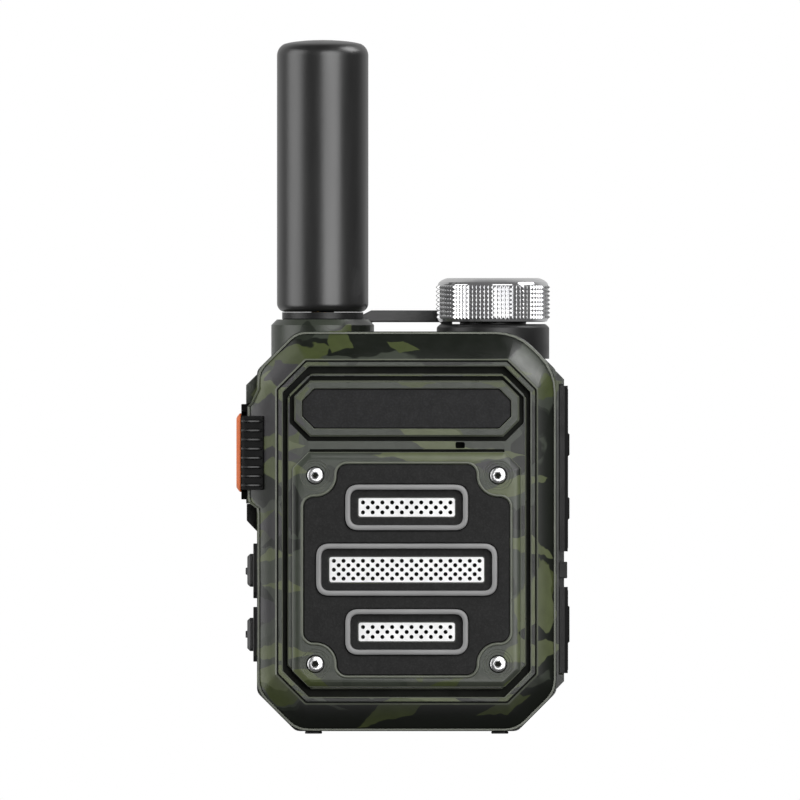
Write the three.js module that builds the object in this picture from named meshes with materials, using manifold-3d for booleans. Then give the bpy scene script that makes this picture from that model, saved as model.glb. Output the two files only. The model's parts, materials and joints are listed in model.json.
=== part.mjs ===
// A rugged pocket two-way radio: a thick octagonal case in two halves, a stub antenna and a knurled
// volume knob on top, a push-to-talk key and two small keys on the left, two covered ports on the
// right, and a sprung belt clip behind. Millimetres, +Z up, the front faces -Y.
//
// While it is modelled, X = 0 is the middle of the case, Y = 0 is the plane that holds the antenna's
// and the knob's axes, and Z = 0 is the surface that the feet stand on. Depths are given as
// distances forward of that plane. The finished group is shifted once, at the end, so that its
// origin is under the middle of its box.

import * as THREE from 'three';
import { mergeVertices } from 'three/addons/utils/BufferGeometryUtils.js';
import Module from 'manifold-3d';

const wasm = await Module();
wasm.setup();

// ---------------------------------------------------------------- driving dimensions

const ROUND_STEPS = 3;
const SCOOP_STEPS = 8;
const GAP = 0.1;
const TRAVEL_GAP = 0.3;

const CASE = {
  halfWidth: 26.2, bottom: 0.45, top: 70.4, cut: 6.8, round: 3.5,
  deck: 67.4, ceiling: 64.0, lip: 9.5, rearCut: 3.8,
};

// The hollow inside both halves, and how far forward it runs before it narrows.
const CAVITY = { halfWidth: 24.4, low: 2.25, cut: 5.6, topCut: 4.2, straight: 9.2, narrow: 1.2 };

// Where cuts run to: from inside the case to beyond its front or its side, and above its top.
const THROUGH_FRONT = [10, 20];
const THROUGH_SIDE = [20, 31];
const BEYOND_FRONT = 20;
const BEYOND_SIDE = 31;
const ABOVE = 80;

// Distances forward of the knob axis, from the back of the case to its foremost face.
const FORWARD = {
  back: -12.5, backRim: -9.5, seamBack: 3.5, seamFront: 4.1, rim: 10.4, inner: 10.8,
  windowFloor: 12.3, groove: 12.4, displayGroove: 12.8, window: 13.6, panel: 13.8,
  band: 14.2, ridge: 14.4, frame: 15.0, bezel: 15.5,
};

const RIDGE = { outer: 23.0, bottom: 5.3, top: 65.3, cut: 5.2, width: 1.0 };
const PANEL = { halfWidth: 20.9, bottom: 7.8, top: 63.0, cut: 4.2 };
const DISPLAY = { halfWidth: 19.7, bottom: 52.0, top: 61.8, cut: 2.8, band: 1.4, groove: 0.8 };
const GRILLE = { halfWidth: 20.0, bottom: 8.2, top: 49.3, cut: 2.8, bevel: 0.8 };
const PLATE = { halfWidth: 18.0, halfHeight: 18.4, z: 28.7, scoop: 3.85, thickness: 1.0 };
const GRILLE_SCREW = { x: 16.0, z: 16.5, head: 2.85, shank: 1.5, length: 3.6, socket: 0.65 };
const SHADOW_LINE = { left: -17.0, right: 17.1, height: 0.55, depth: 0.8 };
const MICROPHONE = { x: 9.36, z: 50.5, holeWidth: 1.65, holeHeight: 1.1, radius: 2.0, depth: 2.0 };
const SOUND_SLOT_MARGIN = { x: 0.6, z: 0.5 };
const SCREEN = { halfWidth: 17.0, low: 52.8, high: 61.2, glassHalf: 15.4, glassLow: 54.8, glassHigh: 59.2 };

// The three speaker windows: where each sits, its frame's size and its mesh insert's size.
const WINDOWS = {
  top: { z: 39.6, width: 21.5, height: 8.0, mesh: [16.9, 3.3] },
  middle: { z: 28.7, width: 31.7, height: 9.15, mesh: [27.1, 4.45] },
  bottom: { z: 17.8, width: 21.5, height: 8.0, mesh: [16.9, 3.3] },
};
const BEZEL = { band: 0.9, round: 2.4 };

const ANTENNA = { x: -14.7, radius: 8.0, low: 73.8, high: 121.4, bore: 4.6, neck: 7.1 };
const COLLAR = { radius: 9.0, low: 63.0, high: 72.5, chamfer: 1.0 };
const KNOB = { x: 15.1, radius: 10.0, low: 72.05, high: 79.75 };
const KNOB_COLLAR = { radius: 9.85, bore: 6.4, low: 65.6, high: 71.7 };
const SHAFT = { radius: 2.5, bushing: 3.5, bushingBore: 2.6 };
const BRIDGE = { left: -8.2, right: 8.0, post: 2.0, low: 72.0, high: 74.1, front: -8.6, back: -10.8 };

const RAIL = { out: 28.1, low: 40.3, high: 62.9, floor: 27.2, front: 6.9, back: -6.9 };
const PTT = { low: 41.0, high: 57.7, out: 28.95, keyLow: 42.3, keyHigh: 56.1, keyOut: 29.8 };
const THUMB_PAD = { low: 42.7, high: 55.6, out: 28.9, inner: 27.3, back: 6.0, front: 11.7 };

// The swelling of the left side under the thumb: its outline in x and z where it leaves the seam and
// where it fades into the bevel, and how far forward each is.
const BULGE = {
  full: [[-24, 38], [-24, 61], [-26, 60.2], [-27.9, 57.2], [-27.9, 41.4], [-26.2, 39.4]],
  faded: [[-22, 40], [-22, 59], [-23.2, 58.6], [-24.6, 56.4], [-24.6, 42.4], [-23.4, 41]],
  straight: 8.3, front: 12.0,
};
const SIDE_KEYS = {
  upper: { low: 23.7, high: 33.3, keyLow: 25.7, keyHigh: 31.5, pip: 28.45 },
  lower: { low: 12.6, high: 22.2, keyLow: 14.45, keyHigh: 20.3, pip: 17.4 },
};
const SIDE_KEY = { forward: -1.2, baseHalf: 4.0, keyHalf: 2.7, base: 26.85, out: 27.9, pip: 28.2 };
const SIDE_SWITCH = { out: 23.6, inner: 20.2, stem: 0.8, stemOut: 23.9, y: 1.2 };

const STRIP = { out: 27.55, low: 7.8, high: 63.4, floor: 26.6, back: -9.4 };
const COVER = { out: 28.25, bump: 28.5, front: 3.1, hingeX: 27.5, hingeY: 6.2, barrel: 0.7, inner: 26.75 };
const COVERS = {
  jack: { low: 31.9, high: 60.9, bumps: [[37.2, 41.7], [48.3, 52.9]], plug: [36.8, 53.1, 0.8] },
  port: { low: 10.6, high: 25.7, bumps: [[15.6, 22.7]], plug: [14.6, 23.8, 0.3] },
};
const JACK = { low: 36.2, high: 53.7, half: 2.9, pitch: 11.1, middle: 44.95 };
const USB = { z: 19.2, halfHeight: 4.47, front: 0.3, back: -2.9, wall: 0.3 };

const BOARD = { front: -3.0, back: -4.2, halfWidth: 23.5, low: 4.0, high: 62.0 };
const BOSS = { x: 21.2, low: 8.2, high: 60.6, radius: 2.1, pilot: 0.95, screw: 0.85, head: 1.8 };
const CASE_SCREW = { back: -12.4, underHead: -11.0, tip: 9.4 };
const SHIELD = { left: -12.0, right: 10.0, back: 0.4, front: 3.0, low: 30.0, high: 51.0, wall: 0.4 };
const BATTERY = { halfWidth: 17.3, low: 9.4, high: 50.8, back: -10.9, round: 1.6 };
const BATTERY_BAY = { halfWidth: 18.0, low: 8.8, high: 51.2, front: -5.7 };
const DOOR = { halfWidth: 18.7, low: 4.4, high: 52.2, cut: 1.6, front: -11.3 };
const DOOR_SCREW = { z: 6.6, head: 1.6, underHead: -11.9, shank: 0.7, tip: -8.6, pilot: 0.75 };
const CLIP = { pivotY: 15.0, pivotZ: 57.0, halfWidth: 7.2, inner: 17.0, outer: 18.6, top: 64.5, tip: 14.0 };
const CLIP_PIN = { radius: 1.03, hole: 1.1 };
const CLIP_SPRING = { radius: 1.75, bore: 1.15, half: 2.9 };
const LUG = { inner: 7.6, outer: 9.6 };
const FOOT = { x: 16.3, frontY: -7.6, backY: 6.6, width: 3.0, depth: 4.0 };
const SPEAKER = { radius: 16.0, z: 28.7, front: 10.3, back: 4.9 };

// ---------------------------------------------------------------- shape helpers

const vec = (x, y, z) => new THREE.Vector3(x, y, z);
const basis = (x, y, z) => new THREE.Matrix4().makeBasis(vec(...x), vec(...y), vec(...z));

// Each turns a shape drawn in x, y and built out along z to face one way, with its y upright.
const FACING_FRONT = basis([1, 0, 0], [0, 0, 1], [0, -1, 0]);
const FACING_LEFT = basis([0, -1, 0], [0, 0, 1], [-1, 0, 0]);
const FACING_RIGHT = basis([0, 1, 0], [0, 0, 1], [1, 0, 0]);

const corners = (...pairs) => pairs.map(([x, y]) => new THREE.Vector2(x, y));

// A closed outline with each corner rounded by the same radius.
function rounded(points, radius, steps = ROUND_STEPS) {
  return points.flatMap((corner, i) => {
    const back = points.at(i - 1).clone().sub(corner).normalize();
    const onward = points[(i + 1) % points.length].clone().sub(corner).normalize();
    const reach = radius / Math.tan(back.angleTo(onward) / 2);
    const start = corner.clone().addScaledVector(back, reach);
    const end = corner.clone().addScaledVector(onward, reach);
    return new THREE.QuadraticBezierCurve(start, corner, end).getPoints(steps);
  });
}

const rectangle = (left, right, low, high) =>
  corners([left, low], [right, low], [right, high], [left, high]);

// A rectangle with its corners cut at 45 degrees, the lower pair by cut and the upper by topCut.
const octagon = (half, low, high, cut, topCut = cut) => corners(
  [-half + cut, low], [half - cut, low], [half, low + cut], [half, high - topCut],
  [half - topCut, high], [-half + topCut, high], [-half, high - topCut], [-half, low + cut]);

const anticlockwise = (ring) => (THREE.ShapeUtils.isClockWise(ring) ? ring.toReversed() : ring);

// A closed solid through a row of outlines that have the same number of points.
function loft(outlines) {
  const sections = outlines.map(({ ring, at }) => ({ ring: anticlockwise(ring), at }));
  const count = sections[0].ring.length;
  const position = sections.flatMap(({ ring, at }) => ring.flatMap((p) => [p.x, p.y, at]));
  const index = [];
  for (let section = 0; section < sections.length - 1; section += 1) {
    const low = section * count;
    const high = low + count;
    for (let i = 0; i < count; i += 1) {
      const j = (i + 1) % count;
      index.push(low + i, low + j, high + j, low + i, high + j, high + i);
    }
  }
  const last = (sections.length - 1) * count;
  for (const [a, b, c] of THREE.ShapeUtils.triangulateShape(sections[0].ring, [])) {
    index.push(c, b, a);
  }
  for (const [a, b, c] of THREE.ShapeUtils.triangulateShape(sections.at(-1).ring, [])) {
    index.push(last + a, last + b, last + c);
  }
  const geometry = new THREE.BufferGeometry();
  geometry.setAttribute('position', new THREE.Float32BufferAttribute(position, 3));
  geometry.setIndex(index);
  return geometry;
}

const prism = (ring, from, to) => loft([{ ring, at: from }, { ring, at: to }]);

const facing = (way, geometry) => geometry.applyMatrix4(way);

const box = (left, right, front, back, low, high) =>
  new THREE.BoxGeometry(right - left, back - front, high - low)
    .translate((left + right) / 2, (front + back) / 2, (low + high) / 2);

// A solid turned about an upright axis, from a profile of [radius, height] points.
const turned = (profile, segments = 24) =>
  new THREE.LatheGeometry(profile.map(([r, h]) => new THREE.Vector2(r, h)), segments)
    .rotateX(Math.PI / 2);

const rod = (radius, low, high, segments = 24) =>
  turned([[0, low], [radius, low], [radius, high], [0, high]], segments);

const tube = (radius, bore, low, high, segments = 24) =>
  turned([[bore, low], [radius, low], [radius, high], [bore, high], [bore, low]], segments);

// Booleans: a geometry becomes a solid with shared corners, and comes back as a geometry.
function solid(geometry) {
  const plain = geometry.clone();
  plain.deleteAttribute('normal');
  plain.deleteAttribute('uv');
  const merged = mergeVertices(plain);
  const triangles = [];
  for (let i = 0; i < merged.index.count; i += 3) {
    const [a, b, c] = [0, 1, 2].map((k) => merged.index.getX(i + k));
    if (a !== b && b !== c && c !== a) {
      triangles.push(a, b, c);
    }
  }
  const vertProperties = new Float32Array(merged.attributes.position.array);
  const triVerts = new Uint32Array(triangles);
  return new wasm.Manifold(new wasm.Mesh({ numProp: 3, vertProperties, triVerts }));
}

function fromSolid(manifold) {
  const { vertProperties, triVerts } = manifold.getMesh();
  const geometry = new THREE.BufferGeometry();
  geometry.setAttribute('position', new THREE.BufferAttribute(vertProperties, 3));
  geometry.setIndex(new THREE.BufferAttribute(triVerts, 1));
  return geometry;
}

const join = (first, ...rest) =>
  fromSolid(rest.reduce((whole, geometry) => whole.add(solid(geometry)), solid(first)));

const cut = (first, ...rest) =>
  fromSolid(rest.reduce((whole, geometry) => whole.subtract(solid(geometry)), solid(first)));

const sides = (values) => [-1, 1].flatMap((side) => values.map((value) => [side, value]));

// ---------------------------------------------------------------- the case

const cavityRing = octagon(
  CAVITY.halfWidth, CAVITY.low, CASE.ceiling, CAVITY.cut, CAVITY.topCut);

const caseRing = (inset, top, topCut) => rounded(
  octagon(CASE.halfWidth - inset, CASE.bottom + inset, top - inset, CASE.cut, topCut), CASE.round / 2);

const screwPlaces = sides([BOSS.low, BOSS.high]).map(([side, z]) => ({ x: side * BOSS.x, z }));

const grilleScrewPlaces = sides([-GRILLE_SCREW.z, GRILLE_SCREW.z]).map(([side, z]) =>
  ({ x: side * GRILLE_SCREW.x, z: PLATE.z + z }));

const bosses = (radius, from, to) => screwPlaces.map(({ x, z }) =>
  facing(FACING_FRONT, rod(radius, from, to, 16)).translate(x, 0, z));

// The swelling of the left side that carries the push-to-talk key, on the front half.
const frontBulge = () => facing(FACING_FRONT, loft([
  { ring: corners(...BULGE.full), at: FORWARD.seamFront },
  { ring: corners(...BULGE.full), at: BULGE.straight },
  { ring: corners(...BULGE.faded), at: BULGE.front },
]));

// The place cut for the push-to-talk frame: a shallow pocket in the rail and over the bulge.
const pttPocket = () => join(
  facing(FACING_LEFT, prism(octagonAt(0, RAIL.front + GAP, PTT.low - GAP, PTT.high + GAP, 1.5),
    RAIL.floor, BEYOND_SIDE)),
  pttPad(GAP));

// An octagon centred at x = middle, half as wide as half, with equal cuts.
function octagonAt(middle, half, low, high, cutBy) {
  return octagon(half, low, high, cutBy).map((p) => p.clone().setX(p.x + middle));
}

// The ribbed thumb pad, wrapped round the bulge's front edge. grow makes the place cut for it.
function pttPad(grow) {
  const { low, high, out, inner, back, front } = THUMB_PAD;
  const section = corners(
    [-inner, -back],
    [-inner, -back - 1.9],
    [-inner + 2.7 + grow, -front + 0.8 + grow],
    [-out + 3.7 + grow / 2, -front - grow],
    [-out + 0.5 - grow, -back - 2.6 - grow],
    [-out - grow, -back - 1.6 - grow],
    [-out - grow, -back]);
  return prism(section, low - grow, high + grow);
}

function frontShell() {
  const rim = caseRing(0, CASE.top);
  const ridgeRing = (inset) => rounded(octagon(RIDGE.outer - inset, RIDGE.bottom + inset,
    RIDGE.top - inset, RIDGE.cut - inset / 2), CASE.round / 2);
  const outer = facing(FACING_FRONT, loft([
    { ring: rim, at: FORWARD.seamFront },
    { ring: rim, at: FORWARD.rim },
    { ring: ridgeRing(0), at: FORWARD.ridge },
  ]));
  const trench = facing(FACING_FRONT,
    prism(ridgeRing(RIDGE.width), FORWARD.groove, BEYOND_FRONT));
  const panel = facing(FACING_FRONT, prism(
    rounded(octagon(PANEL.halfWidth, PANEL.bottom, PANEL.top, PANEL.cut), 1.2),
    FORWARD.groove - 1, FORWARD.panel));
  const cavity = facing(FACING_FRONT, loft([
    { ring: cavityRing, at: 0 },
    { ring: cavityRing, at: CAVITY.straight },
    { ring: octagon(CAVITY.halfWidth - CAVITY.narrow, 3.9, CASE.ceiling - 1, 5.2, 4.2), at: FORWARD.inner },
  ]));
  const displayRing = (inset) => rounded(octagon(DISPLAY.halfWidth - inset, DISPLAY.bottom + inset,
    DISPLAY.top - inset, DISPLAY.cut - inset / 2), 0.5);
  const displayGroove = facing(FACING_FRONT,
    prism(displayRing(-DISPLAY.groove), FORWARD.displayGroove, BEYOND_FRONT));
  const band = facing(FACING_FRONT, loft([
    { ring: displayRing(0), at: FORWARD.displayGroove - 0.2 },
    { ring: displayRing(0), at: FORWARD.band - 0.4 },
    { ring: displayRing(0.4), at: FORWARD.band },
  ]));
  const windowPocket = facing(FACING_FRONT,
    prism(displayRing(DISPLAY.band), FORWARD.windowFloor, BEYOND_FRONT));
  const shadowLine = box(SHADOW_LINE.left, SHADOW_LINE.right,
    -FORWARD.panel - 1, -FORWARD.panel + SHADOW_LINE.depth,
    GRILLE.top, GRILLE.top + SHADOW_LINE.height);
  // An opening right through the front wall.
  const opening = (x, z, width, height) => box(x - width / 2, x + width / 2,
    -BEYOND_FRONT, -FORWARD.inner + 1, z - height / 2, z + height / 2);
  const micHole = opening(MICROPHONE.x, MICROPHONE.z, MICROPHONE.holeWidth, MICROPHONE.holeHeight);
  const soundSlots = Object.values(WINDOWS).map(({ z, mesh: [width, height] }) =>
    opening(0, z, width - 2 * SOUND_SLOT_MARGIN.x, height - 2 * SOUND_SLOT_MARGIN.z));
  const displayHole = opening(0, 57, 31.6, 5.2);
  const pilotHoles = grilleScrewPlaces.map(({ x, z }) =>
    facing(FACING_FRONT, rod(GRILLE_SCREW.shank / 2 + GAP, FORWARD.panel - 2.7, BEYOND_FRONT, 12))
      .translate(x, 0, z));
  const shell = join(
    cut(join(outer, frontBulge()), trench),
    panel);
  const withBand = join(cut(shell, displayGroove), band);
  const hollow = cut(withBand, cavity, windowPocket, shadowLine, micHole, displayHole,
    ...soundSlots, ...pilotHoles);
  const posts = join(hollow, ...bosses(BOSS.radius, FORWARD.seamFront, FORWARD.inner + 0.2));
  return cut(posts,
    ...bosses(BOSS.pilot, 0, FORWARD.inner - 0.8),
    box(-BEYOND_SIDE, BEYOND_SIDE, -CASE.lip, 5, CASE.deck, ABOVE),
    rod(COLLAR.radius + GAP, COLLAR.low - 1, ABOVE, 48).translate(ANTENNA.x, 0, 0),
    rod(KNOB_COLLAR.radius + GAP, KNOB_COLLAR.low, ABOVE, 48).translate(KNOB.x, 0, 0),
    pttPocket());
}

// The belt clip's two ears, on the back of the rear half.
function clipLugs() {
  const ear = rounded(corners([12.2, 53.6], [16.2, 55.2], [17.0, 57.0], [16.2, 59.2], [12.2, 60.4]), 0.6);
  return [-LUG.outer, LUG.inner].map((x) =>
    facing(FACING_RIGHT, prism(ear, x, x + LUG.outer - LUG.inner)));
}

function rearShell() {
  const ring = (inset) => caseRing(inset, CASE.deck, CASE.rearCut);
  const outer = facing(FACING_FRONT, loft([
    { ring: ring(2.8), at: FORWARD.back },
    { ring: ring(0), at: FORWARD.backRim },
    { ring: ring(0), at: FORWARD.seamBack },
  ]));
  const rail = facing(FACING_FRONT, prism(
    corners([-25, RAIL.low], [-25, RAIL.high], [-26.2, RAIL.high], [-RAIL.out, 61], [-RAIL.out, RAIL.low]),
    RAIL.back, FORWARD.seamBack));
  const strip = facing(FACING_FRONT, prism(
    corners([25, STRIP.low], [26.2, STRIP.low], [STRIP.out, 9.2], [STRIP.out, 62], [26.2, STRIP.high],
      [25, STRIP.high]),
    STRIP.back, FORWARD.seamBack));
  const cavity = facing(FACING_FRONT, loft([
    { ring: octagon(21.6, 4.6, CASE.ceiling - 2.4, 3.6), at: FORWARD.back + 1.6 },
    { ring: cavityRing, at: FORWARD.backRim + 1.1 },
    { ring: cavityRing, at: FORWARD.seamFront + 0.9 },
  ]));
  const bay = box(-19.2, 19.2, -BATTERY_BAY.front - 0.8, 11.5, 3, 53.4);
  const collar = turned([[0, COLLAR.low], [COLLAR.radius, COLLAR.low],
    [COLLAR.radius, COLLAR.high - COLLAR.chamfer], [COLLAR.radius - COLLAR.chamfer, COLLAR.high],
    [0, COLLAR.high]], 48).translate(ANTENNA.x, 0, 0);
  const body = join(cut(join(outer, rail, strip), cavity), bay, collar, ...clipLugs(),
    ...bosses(BOSS.radius, FORWARD.back + 1, FORWARD.seamBack));
  const { halfWidth, low, high, front } = BATTERY_BAY;
  const sideKeyHoles = Object.values(SIDE_KEYS).map((key) => facing(FACING_LEFT, prism(
    octagonAt(SIDE_KEY.forward, SIDE_KEY.baseHalf + GAP, key.low - GAP, key.high + GAP, 1),
    ...THROUGH_SIDE)));
  return cut(body,
    rod(ANTENNA.neck - 1.5, 66, ABOVE, 32).translate(ANTENNA.x, 0, 0),
    rod(2.4, 60, ABOVE, 16).translate(ANTENNA.x, 0, 0),
    rod(KNOB_COLLAR.radius + GAP, KNOB_COLLAR.low, ABOVE, 48).translate(KNOB.x, 0, 0),
    rod(SHAFT.bushing + GAP, 60, ABOVE, 24).translate(KNOB.x, 0, 0),
    box(-halfWidth, halfWidth, -front, 20, low, high),
    facing(FACING_FRONT, prism(
      octagon(DOOR.halfWidth + GAP, DOOR.low - GAP, DOOR.high + GAP, DOOR.cut),
      FORWARD.back - 1, DOOR.front)),
    facing(FACING_FRONT, rod(DOOR_SCREW.pilot, -20, DOOR_SCREW.tip + 0.4, 12))
      .translate(0, 0, DOOR_SCREW.z),
    ...bosses(BOSS.pilot, FORWARD.back - 1, 5),
    ...bosses(BOSS.head + GAP, FORWARD.back - 1, -11),
    pttPocket(),
    facing(FACING_LEFT, prism(rectangle(-3.2, 1.2, 46.8, 51.6), ...THROUGH_SIDE)),
    ...sideKeyHoles,
    box(STRIP.floor, BEYOND_SIDE, -5, COVER.hingeY + COVER.barrel + TRAVEL_GAP,
      COVERS.port.low - TRAVEL_GAP, COVERS.jack.high + TRAVEL_GAP),
    box(...THROUGH_SIDE, -JACK.half - GAP, JACK.half + GAP, JACK.low - GAP, JACK.high + GAP),
    box(COVER.inner - 0.6, BEYOND_SIDE, -3, 3,
      COVERS.port.plug[0] - TRAVEL_GAP, COVERS.port.plug[1] + TRAVEL_GAP),
    box(...THROUGH_SIDE, -USB.front - GAP, -USB.back + GAP,
      USB.z - USB.halfHeight - GAP, USB.z + USB.halfHeight + GAP),
    facing(FACING_RIGHT, rod(CLIP_PIN.hole, -12, 12, 16)).translate(0, CLIP.pivotY, CLIP.pivotZ));
}

// The sealing strip in the seam: down one side, under the bottom and up the other.
function shellGasket() {
  const at = (inset) => rounded(octagon(CASE.halfWidth - inset, CASE.bottom + inset, CASE.deck,
    CASE.cut - inset / 2), 1.2);
  const band = (inset, from, to) => facing(FACING_FRONT, prism(at(inset), from, to));
  return cut(band(0.4, FORWARD.seamBack, FORWARD.seamFront),
    band(1.5, 0, 6),
    box(-BEYOND_SIDE, BEYOND_SIDE, -9, 1, 62.6, ABOVE),
    facing(FACING_LEFT, prism(
      rectangle(-RAIL.front, RAIL.front, PTT.low - 1, PTT.high + 1), RAIL.floor, BEYOND_SIDE)));
}

const caseScrew = () => join(
  facing(FACING_FRONT, rod(BOSS.head, CASE_SCREW.back, CASE_SCREW.underHead, 16)),
  facing(FACING_FRONT, rod(BOSS.screw, CASE_SCREW.underHead - 0.2, CASE_SCREW.tip, 12)));

const foot = () => prism(
  rounded(octagon(FOOT.width / 2, -FOOT.depth / 2, FOOT.depth / 2, 0.6), 0.2), 0, CASE.bottom);

// ---------------------------------------------------------------- the front

const displayWindow = () => facing(FACING_FRONT, prism(
  rounded(octagon(DISPLAY.halfWidth - DISPLAY.band - GAP, DISPLAY.bottom + DISPLAY.band + GAP,
    DISPLAY.top - DISPLAY.band - GAP, DISPLAY.cut - DISPLAY.band / 2), 0.5),
  FORWARD.windowFloor, FORWARD.window));

const displayModule = () => join(
  box(-SCREEN.halfWidth, SCREEN.halfWidth, -FORWARD.inner, -FORWARD.inner + 1.4, SCREEN.low, SCREEN.high),
  box(-SCREEN.glassHalf, SCREEN.glassHalf, -FORWARD.windowFloor + 0.2, -FORWARD.inner + 0.5,
    SCREEN.glassLow, SCREEN.glassHigh));

// The plate's outline: a rectangle whose corners are scooped out round the four screws.
function plateRing(grow) {
  const radius = PLATE.scoop - grow;
  const pastX = PLATE.halfWidth + grow - GRILLE_SCREW.x;
  const pastZ = PLATE.halfHeight + grow - GRILLE_SCREW.z;
  const start = Math.atan2(Math.sqrt(radius ** 2 - pastX ** 2), -pastX);
  const end = Math.atan2(-pastZ, Math.sqrt(radius ** 2 - pastZ ** 2));
  const scoop = Array.from({ length: SCOOP_STEPS + 1 }, (_, i) => {
    const angle = start + (end - start) * i / SCOOP_STEPS;
    return [GRILLE_SCREW.x - radius * Math.cos(angle), GRILLE_SCREW.z - radius * Math.sin(angle)];
  });
  const corner = (side, level) =>
    scoop.map(([x, z]) => new THREE.Vector2(side * x, PLATE.z + level * z));
  return [
    ...corner(-1, -1), ...corner(1, -1).reverse(), ...corner(1, 1), ...corner(-1, 1).reverse(),
  ];
}

function grilleFrame() {
  const ring = (inset) => rounded(octagon(GRILLE.halfWidth - inset, GRILLE.bottom + inset,
    GRILLE.top - inset, GRILLE.cut - inset / 2), 0.6);
  const slab = facing(FACING_FRONT, loft([
    { ring: ring(0), at: FORWARD.panel },
    { ring: ring(0), at: FORWARD.frame - 0.5 },
    { ring: ring(GRILLE.bevel), at: FORWARD.frame },
  ]));
  const holes = grilleScrewPlaces.flatMap(({ x, z }) => [
    facing(FACING_FRONT, rod(GRILLE_SCREW.head / 2 + 0.2, FORWARD.frame - 0.7, BEYOND_FRONT, 16)),
    facing(FACING_FRONT, rod(GRILLE_SCREW.shank / 2 + GAP, ...THROUGH_FRONT, 12)),
  ].map((hole) => hole.translate(x, 0, z)));
  return cut(slab, facing(FACING_FRONT, prism(plateRing(GAP), ...THROUGH_FRONT)), ...holes);
}

const windowRing = ({ width, height, z }, inset) => rounded(
  rectangle(-width / 2 + inset, width / 2 - inset, z - height / 2 + inset, z + height / 2 - inset),
  BEZEL.round - inset);

function grillePlate() {
  const slab = facing(FACING_FRONT, prism(plateRing(0), FORWARD.panel, FORWARD.panel + PLATE.thickness));
  const openings = Object.values(WINDOWS).flatMap((window) => {
    const [width, height] = window.mesh;
    return [
      facing(FACING_FRONT, prism(windowRing(window, -GAP), FORWARD.panel + 0.8, BEYOND_FRONT)),
      facing(FACING_FRONT,
        prism(windowRing(window, BEZEL.band), FORWARD.panel + 0.4, BEYOND_FRONT)),
      box(-width / 2 - GAP, width / 2 + GAP, -BEYOND_FRONT, -10,
        window.z - height / 2 - GAP, window.z + height / 2 + GAP),
    ];
  });
  return cut(slab, ...openings);
}

const bezel = (window) => cut(
  facing(FACING_FRONT, prism(windowRing(window, 0), FORWARD.panel + 0.8, FORWARD.bezel)),
  facing(FACING_FRONT, prism(windowRing(window, BEZEL.band), ...THROUGH_FRONT)));

const meshInsert = ({ z, mesh: [width, height] }) =>
  box(-width / 2, width / 2, -FORWARD.panel - 0.6, -FORWARD.panel,
    z - height / 2, z + height / 2);

const grilleScrew = () => cut(
  join(
    facing(FACING_FRONT, rod(GRILLE_SCREW.head / 2, FORWARD.frame - 0.7, FORWARD.frame + 0.2, 16)),
    facing(FACING_FRONT,
      rod(GRILLE_SCREW.shank / 2, FORWARD.frame - GRILLE_SCREW.length, FORWARD.frame - 0.5, 12))),
  facing(FACING_FRONT, rod(GRILLE_SCREW.socket, FORWARD.frame - 0.4, BEYOND_FRONT, 6)));

const microphone = () => facing(FACING_FRONT,
  rod(MICROPHONE.radius, FORWARD.inner - MICROPHONE.depth, FORWARD.inner, 16))
  .translate(MICROPHONE.x, 0, MICROPHONE.z);

function speaker() {
  const { radius, front, back } = SPEAKER;
  return facing(FACING_FRONT, turned([
    [0, back], [8.5, back], [8.5, back + 1.8],
    [radius - 1.5, front - 1.6], [radius, front - 1.2], [radius, front],
    [radius - 1.6, front], [radius - 3, front - 0.7], [5, front - 2.2], [0, front - 1.4],
  ], 32)).translate(0, 0, SPEAKER.z);
}

const speakerGasket = () => facing(FACING_FRONT,
  tube(SPEAKER.radius, SPEAKER.radius - 1.5, SPEAKER.front, FORWARD.inner, 32))
  .translate(0, 0, SPEAKER.z);

// ---------------------------------------------------------------- the top

function antennaSheath() {
  const { radius, low, high, bore } = ANTENNA;
  return turned([
    [bore, low], [radius - 1.5, low], [radius - 0.45, low + 0.45], [radius, low + 1.5],
    [radius, high - 2.8], [radius - 0.5, high - 1.5], [radius - 1.7, high - 0.55],
    [radius - 4, high - 0.1], [0, high], [0, high - 3], [bore, high - 3], [bore, low],
  ], 48).translate(ANTENNA.x, 0, 0);
}

const antennaCore = () => turned([
  [0, 61], [2, 61], [2, ANTENNA.low + 1], [3.8, ANTENNA.low + 1], [3.8, 115], [0, 115]], 16)
  .translate(ANTENNA.x, 0, 0);

const antennaBase = () => turned([
  [2.3, 66.2], [ANTENNA.neck - 1.6, 66.2], [ANTENNA.neck - 1.6, COLLAR.high],
  [ANTENNA.neck, COLLAR.high], [ANTENNA.neck, ANTENNA.low], [2.3, ANTENNA.low], [2.3, 66.2],
], 32).translate(ANTENNA.x, 0, 0);

// The cap turns on the shaft: a chrome shell over a dark plastic hub.
const knobCap = () => turned([
  [7, KNOB.low], [9.5, KNOB.low], [KNOB.radius, KNOB.low + 0.5], [KNOB.radius, KNOB.high - 1.3],
  [8.4, KNOB.high], [0, KNOB.high], [0, 77.6], [7, 77.6], [7, KNOB.low]], 48).translate(KNOB.x, 0, 0);

const knobHub = () => turned([
  [SHAFT.radius + 0.02, 70.9], [5.8, 70.9], [5.8, KNOB.low], [6.9, KNOB.low + 0.4], [6.9, 77.5],
  [SHAFT.radius + 0.02, 77.5], [SHAFT.radius + 0.02, 70.9]], 32).translate(KNOB.x, 0, 0);

const volumeShaft = () => rod(SHAFT.radius, 66.4, 77.2, 24).translate(KNOB.x, 0, 0);

const volumePot = () => cut(
  join(box(-3.9, 3.9, -4.5, 2.9, 54, CASE.ceiling - GAP), rod(SHAFT.bushing, 62, 70.6, 24)),
  rod(SHAFT.bushingBore, 66, ABOVE, 24)).translate(KNOB.x, 0, 0);

const potNut = () => cut(
  rod(5.6, KNOB_COLLAR.low, KNOB_COLLAR.low + 2, 6),
  rod(SHAFT.bushing + 0.02, 60, ABOVE, 24)).translate(KNOB.x, 0, 0);

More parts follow.
